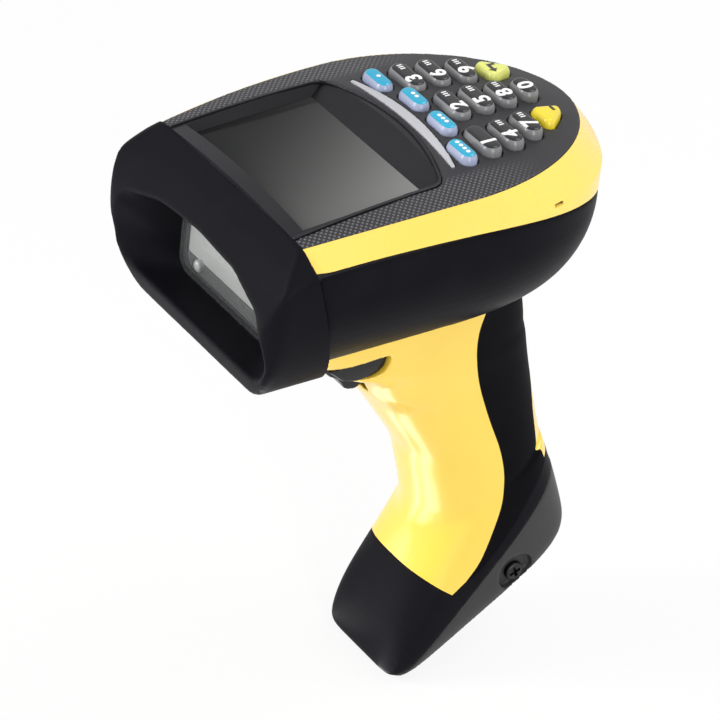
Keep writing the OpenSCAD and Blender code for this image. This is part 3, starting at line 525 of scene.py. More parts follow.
# %% Dress the CAD nodes
DRESS = [
    (BOOT, "nose_boot base_boot"), (WINDOW, "scan_window"), (BODY, "lower_body trigger_housing"),
    (BAND, "upper_shell"), (BEZEL, "top_bezel"), (SURROUND, "display_surround"), (LENS_WITH_PAINTED_REFLECTION, "display_lens"),
    (LIGHT_GUIDE, "light_bar"), (YELLOW, "handle_shell"), (GRIP, "grip_left grip_right"), (TRIGGER, "trigger"),
    (COVER, "battery_cover"), (SEAL, "window_gasket display_gasket keypad_mat body_seal cover_seal"),
    (MODULE, "display_module scan_engine sounder trigger_switch battery_connector"),
    (SHEET, "display_bracket engine_bracket radio_module"), (BOARD, "keypad_board main_board"),
    (STEEL, "keypad_screws head_screws handle_screws trigger_pin trigger_spring cover_screw cover_nut"),
    (LAMP_LENS, "imager_lens aimer_lenses"), (LAMP_PLATE_WITH_PAINTED_GLOW, "lamp_board"), (SLEEVE, "battery_cell"),
    (BRASS, "charge_contacts"),
]
FINISH_OF = {label: finish for finish, labels in DRESS for label in labels.split()}


def dress(thing, finish):
    """One finish on a whole object."""
    thing.data.materials.clear()
    thing.data.materials.append(finish["material"])


for label, thing in nodes.items():
    dress(thing, FINISH_OF.get(label, KEY_TOP))
print("dressed nodes:", len(nodes))

# %% [markdown]
# ## How a skin is made
# The housing is one flowing form that the parting lines divide. By hand, one would start from a filled
# circle, shape it to the first cross-section, and extrude the face section by section. `loft` does
# exactly that. Boolean modifiers then cut the form along the parting lines, and a fine voxel remesh with
# a few rounds of smoothing gives every cut the small moulded radius that a real housing has.

# %% Modelling helpers
ASKEW = (0.5, 0.6, 0.3)


def start_clean():
    """Object mode with nothing selected, so an operator reaches only the piece at hand."""
    if bpy.context.object and bpy.context.object.mode != "OBJECT":
        bpy.ops.object.mode_set(mode="OBJECT")
    bpy.ops.object.select_all(action="DESELECT")


def pick(piece):
    """The one selected and active object."""
    start_clean()
    piece.select_set(True)
    bpy.context.view_layer.objects.active = piece


def spread(first, last, count):
    """Evenly spaced numbers, both ends included."""
    return [first + (last - first) * i / (count - 1) for i in range(count)]


def close_edit():
    """Turns normals outwards, splits flat ends into triangles for clean Booleans, and leaves edit mode."""
    bpy.ops.mesh.select_all(action="SELECT")
    bpy.ops.mesh.normals_make_consistent(inside=False)
    bpy.ops.mesh.select_all(action="DESELECT")
    bpy.ops.mesh.select_face_by_sides(number=4, type="GREATER", extend=False)
    bpy.ops.mesh.quads_convert_to_tris(ngon_method="BEAUTY")
    bpy.ops.object.mode_set(mode="OBJECT")


def loft(name, rings):
    """A closed skin through rings of points in millimetres: a filled circle, extruded ring by ring."""
    start_clean()
    bpy.ops.mesh.primitive_circle_add(vertices=len(rings[0]), radius=0.02, fill_type="NGON")
    piece = bpy.context.object
    piece.name = piece.data.name = name
    bpy.ops.object.mode_set(mode="EDIT")
    row = list(bmesh.from_edit_mesh(piece.data).verts)
    for vert, point in zip(row, rings[0]):
        vert.co = Vector(point) * MM
    for ring in rings[1:]:
        bpy.ops.mesh.extrude_region()
        row = [next(e.other_vert(v) for e in v.link_edges if e.other_vert(v).select) for v in row]
        for vert, point in zip(row, ring):
            vert.co = Vector(point) * MM
    close_edit()
    return piece


def disc(x, y, radius, points=20):
    """A round outline."""
    turns = spread(0, 2 * math.pi, points + 1)[1:]
    return [(x + radius * math.cos(a), y + radius * math.sin(a)) for a in turns]


def prism(name, outline, axis, low, high):
    """An outline extruded along one axis; its two numbers are the other two axes in order."""
    rings = []
    for reach in (low, high):
        if axis == "X":
            rings.append([(reach, a, b) for a, b in outline])
        elif axis == "Y":
            rings.append([(a, reach, b) for a, b in outline])
        else:
            rings.append([(a, b, reach) for a, b in outline])
    return loft(name, rings)


def across(name, outline):
    """A side outline extruded along X through the whole part."""
    return prism(name, outline, "X", -60, 60)


def through_top(name, outline):
    """An outline from above, extruded through the top."""
    return prism(name, outline, "Z", 90, 140)


def block(name, low, high):
    """A box between two corners."""
    corners = [(low[0], low[1]), (high[0], low[1]), (high[0], high[1]), (low[0], high[1])]
    return prism(name, corners, "Z", low[2], high[2])


def modify(piece, kind, **settings):
    """Adds one modifier and applies it."""
    pick(piece)
    modifier = piece.modifiers.new(kind.lower(), kind)
    for label, value in settings.items():
        setattr(modifier, label, value)
    bpy.ops.object.modifier_apply(modifier=modifier.name)


def cut(piece, tool, operation="DIFFERENCE"):
    """A Boolean with a tool that is used up."""
    modify(piece, "BOOLEAN", operation=operation, object=tool, solver="EXACT")
    bpy.data.objects.remove(tool)


def keep(piece, tool):
    """Keeps what lies inside a tool that is used up."""
    cut(piece, tool, "INTERSECT")


def slice_off(piece, point, normal):
    """Bisects the piece at a plane in millimetres and drops the side that the normal points to."""
    pick(piece)
    bpy.ops.object.mode_set(mode="EDIT")
    bpy.ops.mesh.select_all(action="SELECT")
    bpy.ops.mesh.bisect(plane_co=Vector(point) * MM, plane_no=normal, use_fill=True, clear_outer=True)
    close_edit()


def merge(piece, other):
    """Joins another mesh into the piece; the remesh later makes one skin of them."""
    start_clean()
    other.select_set(True)
    piece.select_set(True)
    bpy.context.view_layer.objects.active = piece
    bpy.ops.object.join()


def soften(piece, voxel, rounds):
    """One even skin of small quads with rounded edges; lying askew, no edge follows the voxels."""
    askew = Euler(ASKEW).to_matrix().to_4x4()
    piece.data.transform(askew)
    modify(piece, "REMESH", mode="VOXEL", voxel_size=voxel * MM)
    modify(piece, "SMOOTH", factor=0.5, iterations=rounds)
    piece.data.transform(askew.inverted())
    bpy.ops.object.shade_smooth()


def bevel(piece, width, segments=2):
    """Small round edges of a width in millimetres."""
    modify(piece, "BEVEL", width=width * MM, segments=segments)


def keep_edges(piece, degrees):
    """Smooth shading that leaves the sharper edges crisp."""
    pick(piece)
    bpy.ops.object.shade_smooth_by_angle(angle=math.radians(degrees))


def fair(rows, steps):
    """Rows of numbers on a Catmull-Rom curve, the first and last kept."""
    out = []
    for i in range(len(rows) - 1):
        a, b, c, d = rows[max(i - 1, 0)], rows[i], rows[i + 1], rows[min(i + 2, len(rows) - 1)]
        for k in range(steps):
            t = k / steps
            out.append(tuple(0.5 * (2 * q + (r - p) * t + (2 * p - 5 * q + 4 * r - s) * t * t
                                    + (3 * q - p - 3 * r + s) * t ** 3) for p, q, r, s in zip(a, b, c, d)))
    return out + [tuple(rows[-1])]


def settle(piece, finish, body="scanner", stands_for=()):
    """Finish, body and the CAD nodes that the piece stands for."""
    dress(piece, finish)
    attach(piece, body)
    if stands_for:
        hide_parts(*stands_for)
    print(piece.name, "triangles:", sum(len(p.vertices) - 2 for p in piece.data.polygons))


print("modelling helpers ready")

# %% [markdown]
# ## The head's form
# Seen from above, the head is a blunt nose that widens to the middle and closes in a long oval tail. Seen
# from the front, the belly is round and the band leans in. One function gives a closed ring for any
# height; an inset draws the whole form in, which makes the inner walls.

# %% Head sections
NOSE_Y, BELLY_Y, PEAK_Y, TOP_BACK, FLOOR_BACK, HEAD_BACK = -105, -38, -30, 21, 4, 23
HEAD_FLOOR, BULGE_Z, SPLIT_Z, BAND_TOP = 62, 94, 106, 115.5
HEAD_HALF, SPLIT_HALF, TOP_HALF, TOP_FRONT_HALF, FLOOR_HALF, NOSE_FLOOR_HALF = 42.5, 42.1, 39, 34.5, 14, 26
CROWN, FRONT_DROP, BACK_DROP, NOSE_R, NOSE_LIFT = 3, 5.3, 1.7, 6, 1.6
BOOT_BACK, BOOT_LEAN = 26.5, 14.5
CROWN_STEPS = (1, 0.97, 0.9, 0.8, 0.68, 0.54, 0.4, 0.26, 0.14, 0.05)
# the parting line between belly and band, seen from the side: it drops towards the tail
SPLIT_LINE = [(-120, 106.9), (-88, 107.2), (-70, 107.4), (-55, 107.2), (-45, 106.9), (-35, 106.5),
              (-25, 105.7), (-13.7, 104.3), (0, 102.1), (10.6, 99.8), (34, 94)]
# how far below that line the band and the belly end; the seal lies between
BAND_DROP, BELLY_DROP = 0.4, 0.75
# the tail of the black top, and the cone that slopes the band: how far drawn in and how high, ring by ring
TOP_TAIL, TOP_POWER = 2.6, 1.9
SHOULDER, SHOULDER_LIFT = [(9, 10), (-8, -9), (-8, -40)], 0.25


def fall(y):
    """How far the top edge lies below its highest point."""
    if y < PEAK_Y:
        return FRONT_DROP * ((PEAK_Y - y) / (PEAK_Y - NOSE_Y)) ** 2
    return BACK_DROP * ((y - PEAK_Y) / (HEAD_BACK - PEAK_Y)) ** 2


def top_z(x, y):
    """Height of the crowned top at a place on it."""
    share = max(0.0, 1 - (max(0.0, y - BELLY_Y) / (TOP_BACK - BELLY_Y)) ** 2)
    return BAND_TOP - fall(y) + CROWN * (1 - (x / (TOP_HALF * math.sqrt(share))) ** 2)


def boot_y(z):
    """Where the nose boot ends at a height."""
    return NOSE_Y + BOOT_BACK - BOOT_LEAN * (z - HEAD_FLOOR) / (BAND_TOP - HEAD_FLOOR)


def plan_ring(front_half, half, back, corner, power):
    """The head's plan: rounded nose corner, bowed flank and oval tail, both sides."""
    side = []
    for a in spread(0, math.pi / 2, 9):
        side.append((front_half - corner + corner * math.sin(a), NOSE_Y + corner - corner * math.cos(a)))
    for t in spread(0, 1, 15)[1:]:
        bow = (half - front_half) * (1 - t) ** 2
        side.append((half - bow, NOSE_Y + corner + (BELLY_Y - NOSE_Y - corner) * t))
    for a in spread(0, math.radians(88), 31)[1:]:
        x, y = math.cos(a) ** (2 / power), math.sin(a) ** (2 / power)
        side.append((half * x, BELLY_Y + (back - BELLY_Y) * y))
    return side + [(-x, y) for x, y in reversed(side)]


def crown_ring(share, inset):
    """A ring of the crowned top; 1 is its edge."""
    plan = plan_ring((TOP_FRONT_HALF - inset) * share, (TOP_HALF - inset) * share,
                     TOP_BACK - inset - (1 - share) * TOP_HALF, NOSE_R * share, 2)
    rise = BAND_TOP - inset + CROWN * (1 - share * share)
    return [(x, y, rise - fall(y)) for x, y in plan]


def head_rings(inset, nose=False):
    """All rings of the head, drawn in by inset; the nose boot is squarer below."""
    power, low = (2, NOSE_FLOOR_HALF) if nose else (1.85, FLOOR_HALF)
    floor = HEAD_FLOOR + inset + (NOSE_LIFT if nose else 0)
    rings = []
    for turn in spread(0, math.pi / 2, 16):
        share = math.sin(turn) ** (2 / power)
        half = low + (HEAD_HALF - low) * share - inset
        back = FLOOR_BACK + (HEAD_BACK - FLOOR_BACK) * share - inset
        rise = floor + (BULGE_Z - floor) * (1 - max(0.0, math.cos(turn)) ** (2 / power))
        rings.append([(x, y, rise) for x, y in plan_ring(half, half, back, NOSE_R, 2.4)])
    half = SPLIT_HALF - inset
    rings.append([(x, y, SPLIT_Z) for x, y in plan_ring(half, half, HEAD_BACK - inset, NOSE_R, 2.4)])
    return rings + [crown_ring(share, inset) for share in CROWN_STEPS]


def behind_boot(piece, drop=-1):
    """Keeps what lies behind the slanted rear edge of the nose boot; drop=1 keeps the front instead."""
    slice_off(piece, (0, boot_y(HEAD_FLOOR), HEAD_FLOOR), (0, drop, drop * BOOT_LEAN / (BAND_TOP - HEAD_FLOOR)))


def split_side(piece, above, drop=None):
    """Keeps what lies above or below the head's parting line, lowered by drop."""
    if drop is None:
        drop = BAND_DROP if above else BELLY_DROP
    line = [(y, z - drop) for y, z in fair(SPLIT_LINE, 4)]
    cut(piece, across("below_line", line + [(40, 20), (-126, 20)]), "DIFFERENCE" if above else "INTERSECT")


def top_edge(inset):
    """The black top's edge from above; more pointed than the head, so the band wraps over the tail."""
    return plan_ring(TOP_FRONT_HALF - inset, TOP_HALF - inset, TOP_BACK - TOP_TAIL - inset, NOSE_R, TOP_POWER)


def top_plan(name, inset):
    """An upright prism inside the edge of the top."""
    return prism(name, top_edge(inset), "Z", 80, 140)


def shoulder(name):
    """A wide cone through the top's edge, which slopes the band away from it."""
    return loft(name, [[(x, y, BAND_TOP - fall(y) + SHOULDER_LIFT + rise) for x, y in top_edge(draw_in)]
                       for draw_in, rise in SHOULDER])


print("head rings:", len(head_rings(0)), "of", len(head_rings(0)[0]), "points")

# %% [markdown]
# ## The nose boot
# A thick rubber boot guards the nose. Its mouth is wide below and narrow above, and a funnel leads from it
# to the scan window. The boot is the head's form grown by a third of a millimetre. It is kept inside a side
# profile with a sloped brow, its upper corners are sliced off, and it is opened by the funnel and rounded
# generously. Its rear edge and the hollow for the body are cut last, so they stay crisp.

# %% Nose boot
BOOT_PROFILE = [(-98, 60), (-105, 82), (-105, 90), (-103.8, 96), (-101.3, 102), (-97.5, 107.2),
                (-91.5, 113.6), (boot_y(119.5) + 8, 119.5), (boot_y(60) + 8, 60)]
MOUTH = [(33, 79), (28.5, 88), (18, 92.6), (0, 94.2), (-18, 92.6), (-28.5, 88), (-33, 79)]
MOUTH_R = 8
PANE = [(20, 75.3), (20, 86.2), (10, 86.3), (0, 86.3), (-10, 86.3), (-20, 86.2), (-20, 75.3)]
PANE_R = 5
CORE_Y, CORE_BACK = -89.5, -60
NOSE_WALL = 3
BOOT_GROWS = 0.35
# a point of the plane that takes off an upper corner, and the way it faces
CORNER_CUT, CORNER_FACE = (42.85, -88, 107.5), (1.252, -0.433, 1)


def grown(points, radius, steps=8):
    """A counter-clockwise convex outline grown by a radius, its corners round."""
    outline = []
    for i, (x, y) in enumerate(points):
        before, after = points[i - 1], points[(i + 1) % len(points)]
        first = math.atan2(y - before[1], x - before[0]) - math.pi / 2
        last = math.atan2(after[1] - y, after[0] - x) - math.pi / 2
        while last < first:
            last += 2 * math.pi
        outline += [(x + radius * math.cos(a), y + radius * math.sin(a)) for a in spread(first, last, steps)]
    return outline


def funnel(name):
    """The hollow from the mouth to the scan window."""
    mouth, pane = grown(MOUTH, MOUTH_R), grown(PANE, PANE_R)
    stations = [(-108, mouth), (NOSE_Y, mouth), (CORE_Y, pane), (CORE_Y + 1, pane)]
    return loft(name, [[(x, y, z) for x, z in outline] for y, outline in stations])


def nose_core(name):
    """The part of the body that the boot is pulled over."""
    core = loft(name, head_rings(NOSE_WALL))
    split_side(core, False)
    slice_off(core, (0, CORE_Y, 90), (0, -1, 0))
    slice_off(core, (0, CORE_BACK, 90), (0, 1, 0))
    return core


def make_nose_boot():
    boot = loft("boot_skin", head_rings(-BOOT_GROWS, True))
    keep(boot, across("profile", BOOT_PROFILE))
    for side in (1, -1):
        slice_off(boot, (side * CORNER_CUT[0], *CORNER_CUT[1:]), (side * CORNER_FACE[0], *CORNER_FACE[1:]))
    cut(boot, funnel("funnel"))
    soften(boot, 0.6, 36)
    behind_boot(boot, 1)
    cut(boot, nose_core("core"))
    keep_edges(boot, 40)
    settle(boot, BOOT, stands_for=["nose_boot"])


make_nose_boot()

# %% [markdown]
# ## Belly, band and top
# The black belly, the yellow band and the black top share the head's form. The curved parting line divides
# belly and band, and an upright cut inside the edge divides band and top. Each shell is hollow, because
# the boards and the display lie inside. The belly goes on inside the boot as a frame for the scan window, and
# a seal lies in the parting line.

# %% Belly, nose frame and seal
WALL = 2.6
SCREW_PLACES = [(27, -38.6, 76), (-27, -38.6, 76), (0, 13.5, 79)]
BOSS_R, WELL_R, SHAFT_R = 4.5, 3.1, 1.6
FRAME_BACK, PANE_WIDER = -84.7, 1.06
DISPLAY_BAY, BAY_HALF = [(-120, 101.8), (-36, 106.9), (-36, 140), (-120, 140)], 32.3
SEAL_INSET, SEAL_INNER, SEAL_LOW, SEAL_HIGH = 0.4, 2.4, 2.2, 0.38


def rod(name, x, y, radius, low, high):
    """An upright round bar."""
    return prism(name, disc(x, y, radius, 32), "Z", low, high)


def screw_boss(x, y, high):
    """A tube that stands in the belly round a screw, open below for its head."""
    boss = rod("boss", x, y, BOSS_R, 50, 104)
    keep(boss, loft("form", head_rings(0.7)))
    cut(boss, rod("well", x, y, WELL_R, 40, high))
    cut(boss, rod("shaft", x, y, SHAFT_R, 40, 120))
    return boss


def make_belly():
    belly = loft("belly_skin", head_rings(0))
    split_side(belly, False)
    behind_boot(belly)
    cut(belly, loft("room", head_rings(WALL)))
    for x, y, high in SCREW_PLACES:
        cut(belly, rod("screw_well", x, y, WELL_R, 50, high))
        merge(belly, screw_boss(x, y, high))
    soften(belly, 0.7, 10)
    settle(belly, BODY, stands_for=["lower_body"])


def make_nose_frame():
    """The body's front end inside the boot, which holds the scan window."""
    inner = nose_core("nose_frame")
    room = loft("room", head_rings(WALL + NOSE_WALL))
    slice_off(room, (0, FRAME_BACK, 90), (0, -1, 0))
    cut(inner, room)
    pane = [(x * PANE_WIDER, z) for x, z in grown(PANE, PANE_R - 1)]
    cut(inner, prism("pane_room", pane, "Y", -96, -80))
    cut(inner, prism("display_bay", DISPLAY_BAY, "X", -BAY_HALF, BAY_HALF))
    soften(inner, 0.6, 5)
    settle(inner, BODY)


def make_seal():
    """The seal in the parting line, let into the belly's rim, so that no light shows through."""
    seal = loft("seal_skin", head_rings(SEAL_INSET))
    split_side(seal, True, SEAL_LOW)
    split_side(seal, False, SEAL_HIGH)
    behind_boot(seal)
    cut(seal, loft("room", head_rings(SEAL_INNER)))
    keep_edges(seal, 35)
    settle(seal, SEAL, stands_for=["body_seal"])


make_nose_frame()
make_belly()
make_seal()

# %% [markdown]
# The band is what lies above the parting line and outside the top. A wide cone slopes it away from the top's
# edge, and a narrow sound slot is cut low in it near the tail.

# %% Yellow band
BAND_LIP, SLOT_X = 0.12, 37.4
SLOT = grown([(-11.4, 106.5), (-8.6, 106.5), (-8.6, 106.7), (-11.4, 106.7)], 0.4)


def make_band():
    band = loft("band_skin", head_rings(0))
    split_side(band, True)
    behind_boot(band)
    cut(band, top_plan("top", BAND_LIP))
    keep(band, shoulder("shoulder"))
    cut(band, prism("slot", SLOT, "X", SLOT_X, 60))
    keep_edges(band, 30)
    settle(band, BAND, stands_for=["upper_shell"])


make_band()

# %% [markdown]
# The top carries the display, a light bar and sixteen keys. Their outlines are reused for the holes here
# and for the pieces that fill them, so that the gaps stay even.

# %% Top with its openings
TOP_PROUD, TOP_WALL, TOP_GAP, BAR_GAP = 0.25, 3, 0.05, 0.15
BAR_HALF, BAR_Y, BAR_MIDDLE, BAR_TAPER = 25, -34.6, 1.7, 1.15
BAR_R = (BAR_HALF ** 2 + 2.4 ** 2) / 4.8
SURROUND_HALF, SURROUND_ARC, SURROUND_FRONT, SURROUND_REAR = 32, 26.5, -106, -37.5
SURROUND_R, CORNER_R = (30.5 ** 2 + 6.5 ** 2) / 13, 4.0
# function keys: size, pitch, place and bow; digit keys: width, length, pitch, place, and what each row loses
FKEY_SIZE, FKEY_PITCH, FKEY_Y, FKEY_BOW = (11, 5.4), 13.7, -28.1, 0.0075
KEY_W, KEY_L, KEY_PITCH, KEY_X, KEY_Y = 6.2, 14, 8.2, 18.3, -22.8
ROW_SHORTER, ROW_CLOSER, MIDDLE_BACK = 0.5, 0.645, 2.4
KEY_GAP = 0.3
CORNER_AT, CORNER_KEY = (12.5, 1.8), [(-1.5, -0.5), (3.6, -0.7), (-0.2, 4)]
DIGITS = (("1", "2", "3"), ("4", "5", "6"), ("7", "8", "9"), (None, "0", None))


def key_table():
    """Name, place, length and width of the round-ended keys."""
    keys = []
    for i in range(4):
        x = (i - 1.5) * FKEY_PITCH
        keys.append((f"key_f{i + 1}", x, FKEY_Y - FKEY_BOW * x * x, *FKEY_SIZE))
    for row, names in enumerate(DIGITS):
        outer, length = KEY_X - ROW_CLOSER * row * row, KEY_L - ROW_SHORTER * row * row
        for column, digit in zip((1, 0, -1), names):
            if digit:
                y = KEY_Y + KEY_PITCH * row + (0 if column else MIDDLE_BACK)
                keys.append((f"key_{digit}", column * outer, y, length, KEY_W))
    return keys


def round_ended(x, y, length, width):
    """A round-ended outline along X."""
    half = (length - width) / 2
    corners = [(x - half, y - 0.001), (x + half, y - 0.001), (x + half, y + 0.001), (x - half, y + 0.001)]
    return grown(corners, width / 2)


def corner_outline(side, grow):
    """The rounded triangle of a rear corner key; side is 1 or -1."""
    outline = [(CORNER_AT[0] + x, CORNER_AT[1] + y) for x, y in grown(CORNER_KEY, 2 + grow)]
    return outline if side > 0 else [(-x, y) for x, y in reversed(outline)]


def surround_outline(inset):
    """The D-shaped ground of the display, its rear corners round."""
    half = SURROUND_HALF - CORNER_R
    arc = [(x, SURROUND_REAR - SURROUND_R + math.sqrt((SURROUND_R - CORNER_R) ** 2 - x * x))
           for x in spread(SURROUND_ARC, -SURROUND_ARC, 31)]
    return grown([(-half, SURROUND_FRONT), (half, SURROUND_FRONT)] + arc, CORNER_R - inset, 3)


def bar_outline(grow):
    """The crescent in front of the keys, widest in the middle."""
    outline = []
    for turn in (1, -1):
        for x in spread(-turn * BAR_HALF, turn * BAR_HALF, 41):
            side = turn * (BAR_MIDDLE - BAR_TAPER * (x / BAR_HALF) ** 2 + grow)
            y = BAR_Y - BAR_R + math.sqrt((BAR_R + side) ** 2 - x * x)
            outline.append((x * (1 + grow / BAR_HALF), y))
    return outline


def make_top():
    top = loft("top_skin", head_rings(-TOP_PROUD))
    split_side(top, True)
    behind_boot(top)
    keep(top, top_plan("top", BAND_LIP + TOP_GAP))
    cut(top, loft("under", head_rings(TOP_WALL)))
    cut(top, through_top("display_hole", surround_outline(0)))
    cut(top, through_top("bar_hole", bar_outline(BAR_GAP)))
    for _, x, y, length, width in key_table():
        cut(top, through_top("key_hole", round_ended(x, y, length + 2 * KEY_GAP, width + 2 * KEY_GAP)))
    for side in (1, -1):
        cut(top, through_top("corner_hole", corner_outline(side, KEY_GAP)))
    soften(top, 0.42, 6)
    settle(top, BEZEL, stands_for=["top_bezel"])


make_top()

# %% [markdown]
# The display's surround lies in the D-shaped opening: a smooth black tray with a thin raised rim round
# it, which catches a line of light.

# %% Display surround and rim
SCREEN_TILT = math.tan(math.radians(3.5))
SCREEN_Y, SCREEN_Z, SCREEN_HALF, SCREEN_L, LENS_LAP = -88, 110.9, 28, 40, 1.2
TRAY_GAP, TRAY_DEPTH = 0.12, 5.6
# the rim: how far it stands out and goes in, and its two edges inside the ground's outline
RIM_PROUD, RIM_SUNK, RIM_OUTER, RIM_INNER = 0.55, 0.6, 0.1, 1.0
# height over the lens, half width, front and rear of the opening
SCREEN_BANKS = ((-3, SCREEN_HALF, 0, SCREEN_L), (0.05, SCREEN_HALF, 0, SCREEN_L), (7, 32.1, -0.3, 51.5))


def screen_point(reach, depth):
    """Y and Z of a place along the tilted display."""
    return SCREEN_Y + reach, SCREEN_Z + reach * SCREEN_TILT + depth


def screen_prism(name, half, front, rear, low, high):
    """A block along the display's tilt; low and high are heights over the lens."""
    corners = ((front, low), (rear, low), (rear, high), (front, high))
    return prism(name, [screen_point(*corner) for corner in corners], "X", -half, half)


def screen_funnel(name):
    """The opening over the lens: its banks rise to the rim, the rear one the gentlest."""
    rings = []
    for depth, half, front, rear in SCREEN_BANKS:
        rings.append([(x, *screen_point(reach, depth))
                      for x, reach in ((-half, front), (half, front), (half, rear), (-half, rear))])
    return loft(name, rings)


def make_surround():
    tray = loft("tray_skin", head_rings(0))
    behind_boot(tray)
    keep(tray, through_top("ground", surround_outline(TRAY_GAP)))
    keep(tray, screen_prism("over", 60, -40, 80, -TRAY_DEPTH, 40))
    cut(tray, screen_funnel("window"))
    cut(tray, screen_prism("lens_room", SCREEN_HALF + LENS_LAP, -LENS_LAP, SCREEN_L + LENS_LAP, -40, 0))
    keep_edges(tray, 30)
    settle(tray, SURROUND, stands_for=["display_surround"])
    rim = loft("rim_skin", head_rings(-RIM_PROUD))
    behind_boot(rim)
    keep(rim, prism("outer", surround_outline(RIM_OUTER), "Z", 110, 140))
    cut(rim, prism("inner", surround_outline(RIM_INNER), "Z", 90, 141))
    cut(rim, loft("under", head_rings(RIM_SUNK)))
    soften(rim, 0.22, 5)
    settle(rim, SURROUND)


make_surround()

# %% [markdown]
# The light bar is a milky crescent that stands a little out of the top, between the display and the keys.

# %% Light bar
BAR_PROUD, BAR_FLOOR = 0.45, 113.6


def make_light_bar():
    bar = loft("bar_skin", head_rings(-BAR_PROUD))
    keep(bar, prism("arc", bar_outline(0), "Z", BAR_FLOOR, 140))
    soften(bar, 0.25, 6)
    settle(bar, LIGHT_GUIDE, stands_for=["light_bar"])


make_light_bar()

# %% [markdown]
# ## The handle's form
# The handle hangs from the head and sweeps into a slanted base. Its cross-sections are rounded boxes,
# squarer at the base's front. They are strung on smooth curves, so the form is fair between the sections
# that were measured.

# %% Handle sections
BASE_LEAN, BASE_AT = math.radians(32.5), (-26, -68.6)
RING_POINTS = 64


def base_point(u, v):
    """A point of the slanted base: u along its bottom, v square to it."""
    return (BASE_AT[0] + u * math.cos(BASE_LEAN) - v * math.sin(BASE_LEAN),
            BASE_AT[1] + u * math.sin(BASE_LEAN) + v * math.cos(BASE_LEAN))


# sections from the top: front, rear, half width and squareness, each part in the numbers that suit it
NECK = [(-82, 4, 66, 19.2, 3.2), (-80.5, 6.5, 61, 19.2, 3.2), (-72, 8.2, 55, 18.7, 3),
        (-62, 9.7, 49.7, 18.2, 2.8), (-56.5, 10.6, 45.6, 17.9, 2.7)]
# the front of the first sections is squarer
FRONT_N = [5, 5, 5, 5, 5, 4, 3.2]
GRIP_ROWS = [(-47.5, 41, 11.9, 42, 17.6, 2.6), (-42.5, 33, 14, 34.5, 17, 2.5),
             (-37.5, 26, 16, 27.5, 16.8, 2.4), (-30.5, 16, 18.3, 19, 16.6, 2.4),
             (-24, 6, 20.3, 11.5, 16.6, 2.4), (-20.6, -4, 21.8, 6.8, 16.6, 2.4),
             (-18.3, -12.5, 22.9, 4, 16.8, 2.3), (-17.3, -18.5, 23.5, 2.4, 16.9, 2.2)]
BASE_ROWS = [(29.6, 79.4, 32, 17.3, 2.2, 2.7), (17.2, 77.4, 22, 18.1, 3.6, 3),
             (5.2, 75.2, 12, 18.9, 6.5, 3.2), (-1.2, 73, 4, 19.2, 8, 3.4), (-0.4, 71.4, 0, 18.2, 8, 3.4)]


def handle_rows():
    """Front point, rear point, half width and the two squarenesses of every section, top to bottom."""
    rows = [(y0, z, y1, z, half, n, n) for y0, y1, z, half, n in NECK]
    rows += [(y0, z0, y1, z1, half, n, n) for y0, z0, y1, z1, half, n in GRIP_ROWS]
    rows += [(*base_point(u0, v), *base_point(u1, v), half, n0, n1) for u0, u1, v, half, n0, n1 in BASE_ROWS]
    return [(*row[:5], square, row[6]) for row, square in zip(rows, FRONT_N)] + rows[len(FRONT_N):]


def handle_rings(inset):
    """All rings of the handle, drawn in by inset."""
    rings = []
    for y0, z0, y1, z1, half, front_n, rear_n in fair(handle_rows(), 4):
        length = math.hypot(y1 - y0, z1 - z0)
        along = ((y1 - y0) / length, (z1 - z0) / length)
        ring = []
        for i in range(RING_POINTS):
            a = 2 * math.pi * (i + 0.5) / RING_POINTS - math.pi / 2
            power = 2 / (front_n if math.sin(a) < 0 else rear_n)
            x = (half - inset) * math.copysign(abs(math.cos(a)) ** power, math.cos(a))
            b = (length / 2 - inset) * math.copysign(abs(math.sin(a)) ** power, math.sin(a))
            ring.append((x, (y0 + y1) / 2 + along[0] * b, (z0 + z1) / 2 + along[1] * b))
        rings.append(ring)
    return rings


print("handle rings:", len(handle_rings(0)))

# %% [markdown]
# ## Parting lines of the handle
# Four curves seen from the side divide it: the wave between the yellow front and the black grip, the tip,
# the chin below the yellow, and the heel between grip and base.

# %% Parting lines
WAVE = [(-12.5, 67), (-12.9, 60.7), (-14.4, 52.6), (-13.5, 43.2), (-10.4, 32.5), (-5.1, 19.6), (0.7, 6.8),
        (3.5, -3.2), (3.7, -12.7), (1.3, -22.2), (-2.2, -31.4), (-6.6, -37.2)]
TIP = [(-6.6, -37.2), (-11.1, -40.7)]
CHIN = [(-11.1, -40.7), (-18, -36), (-21.9, -34.1), (-24.3, -33.5), (-45, -32.5)]
HEEL = [(-6.6, -37.2), (-2.2, -34.8), (2.2, -30.3), (6.9, -24.4), (11.5, -17.3), (16.6, -9.7), (24, -2.5),
        (48, 6)]
# the trigger's axis, and the finger notch about it
PIVOT = (-46, 57.4)
NOTCH = [(-40, -4.9), (-18, -4.6), (0.6, -3.1), (1.5, -4.0), (1.5, -5.6), (0.9, -8.0), (-1.0, -9.7),
         (-4.3, -10.5), (-8.5, -10.9), (-40, -16)]
# the spine between the grips, seen from behind: narrow above, wide where the base begins
SPINE = [(4.5, 70), (4.5, 36), (7, 28), (10.5, 18), (12.3, 6), (13, -12), (12, -60)]
COVER_FRONT, COVER_SLOPE, COVER_GAP = 0.5, 0.288, 0.6


def cover_line(u, lift):
    """The parting line of the base cover, raised by lift."""
    return base_point(u, COVER_FRONT + COVER_SLOPE * u + lift)


def about_pivot(outline):
    """An outline given from the trigger's axis."""
    return [(PIVOT[0] + y, PIVOT[1] + z) for y, z in outline]


def front_lines():
    """The yellow front, seen from the side."""
    return [(-100, 70)] + fair(WAVE, 5) + fair(TIP, 2)[1:] + fair(CHIN, 5)[1:] + [(-100, -27)]


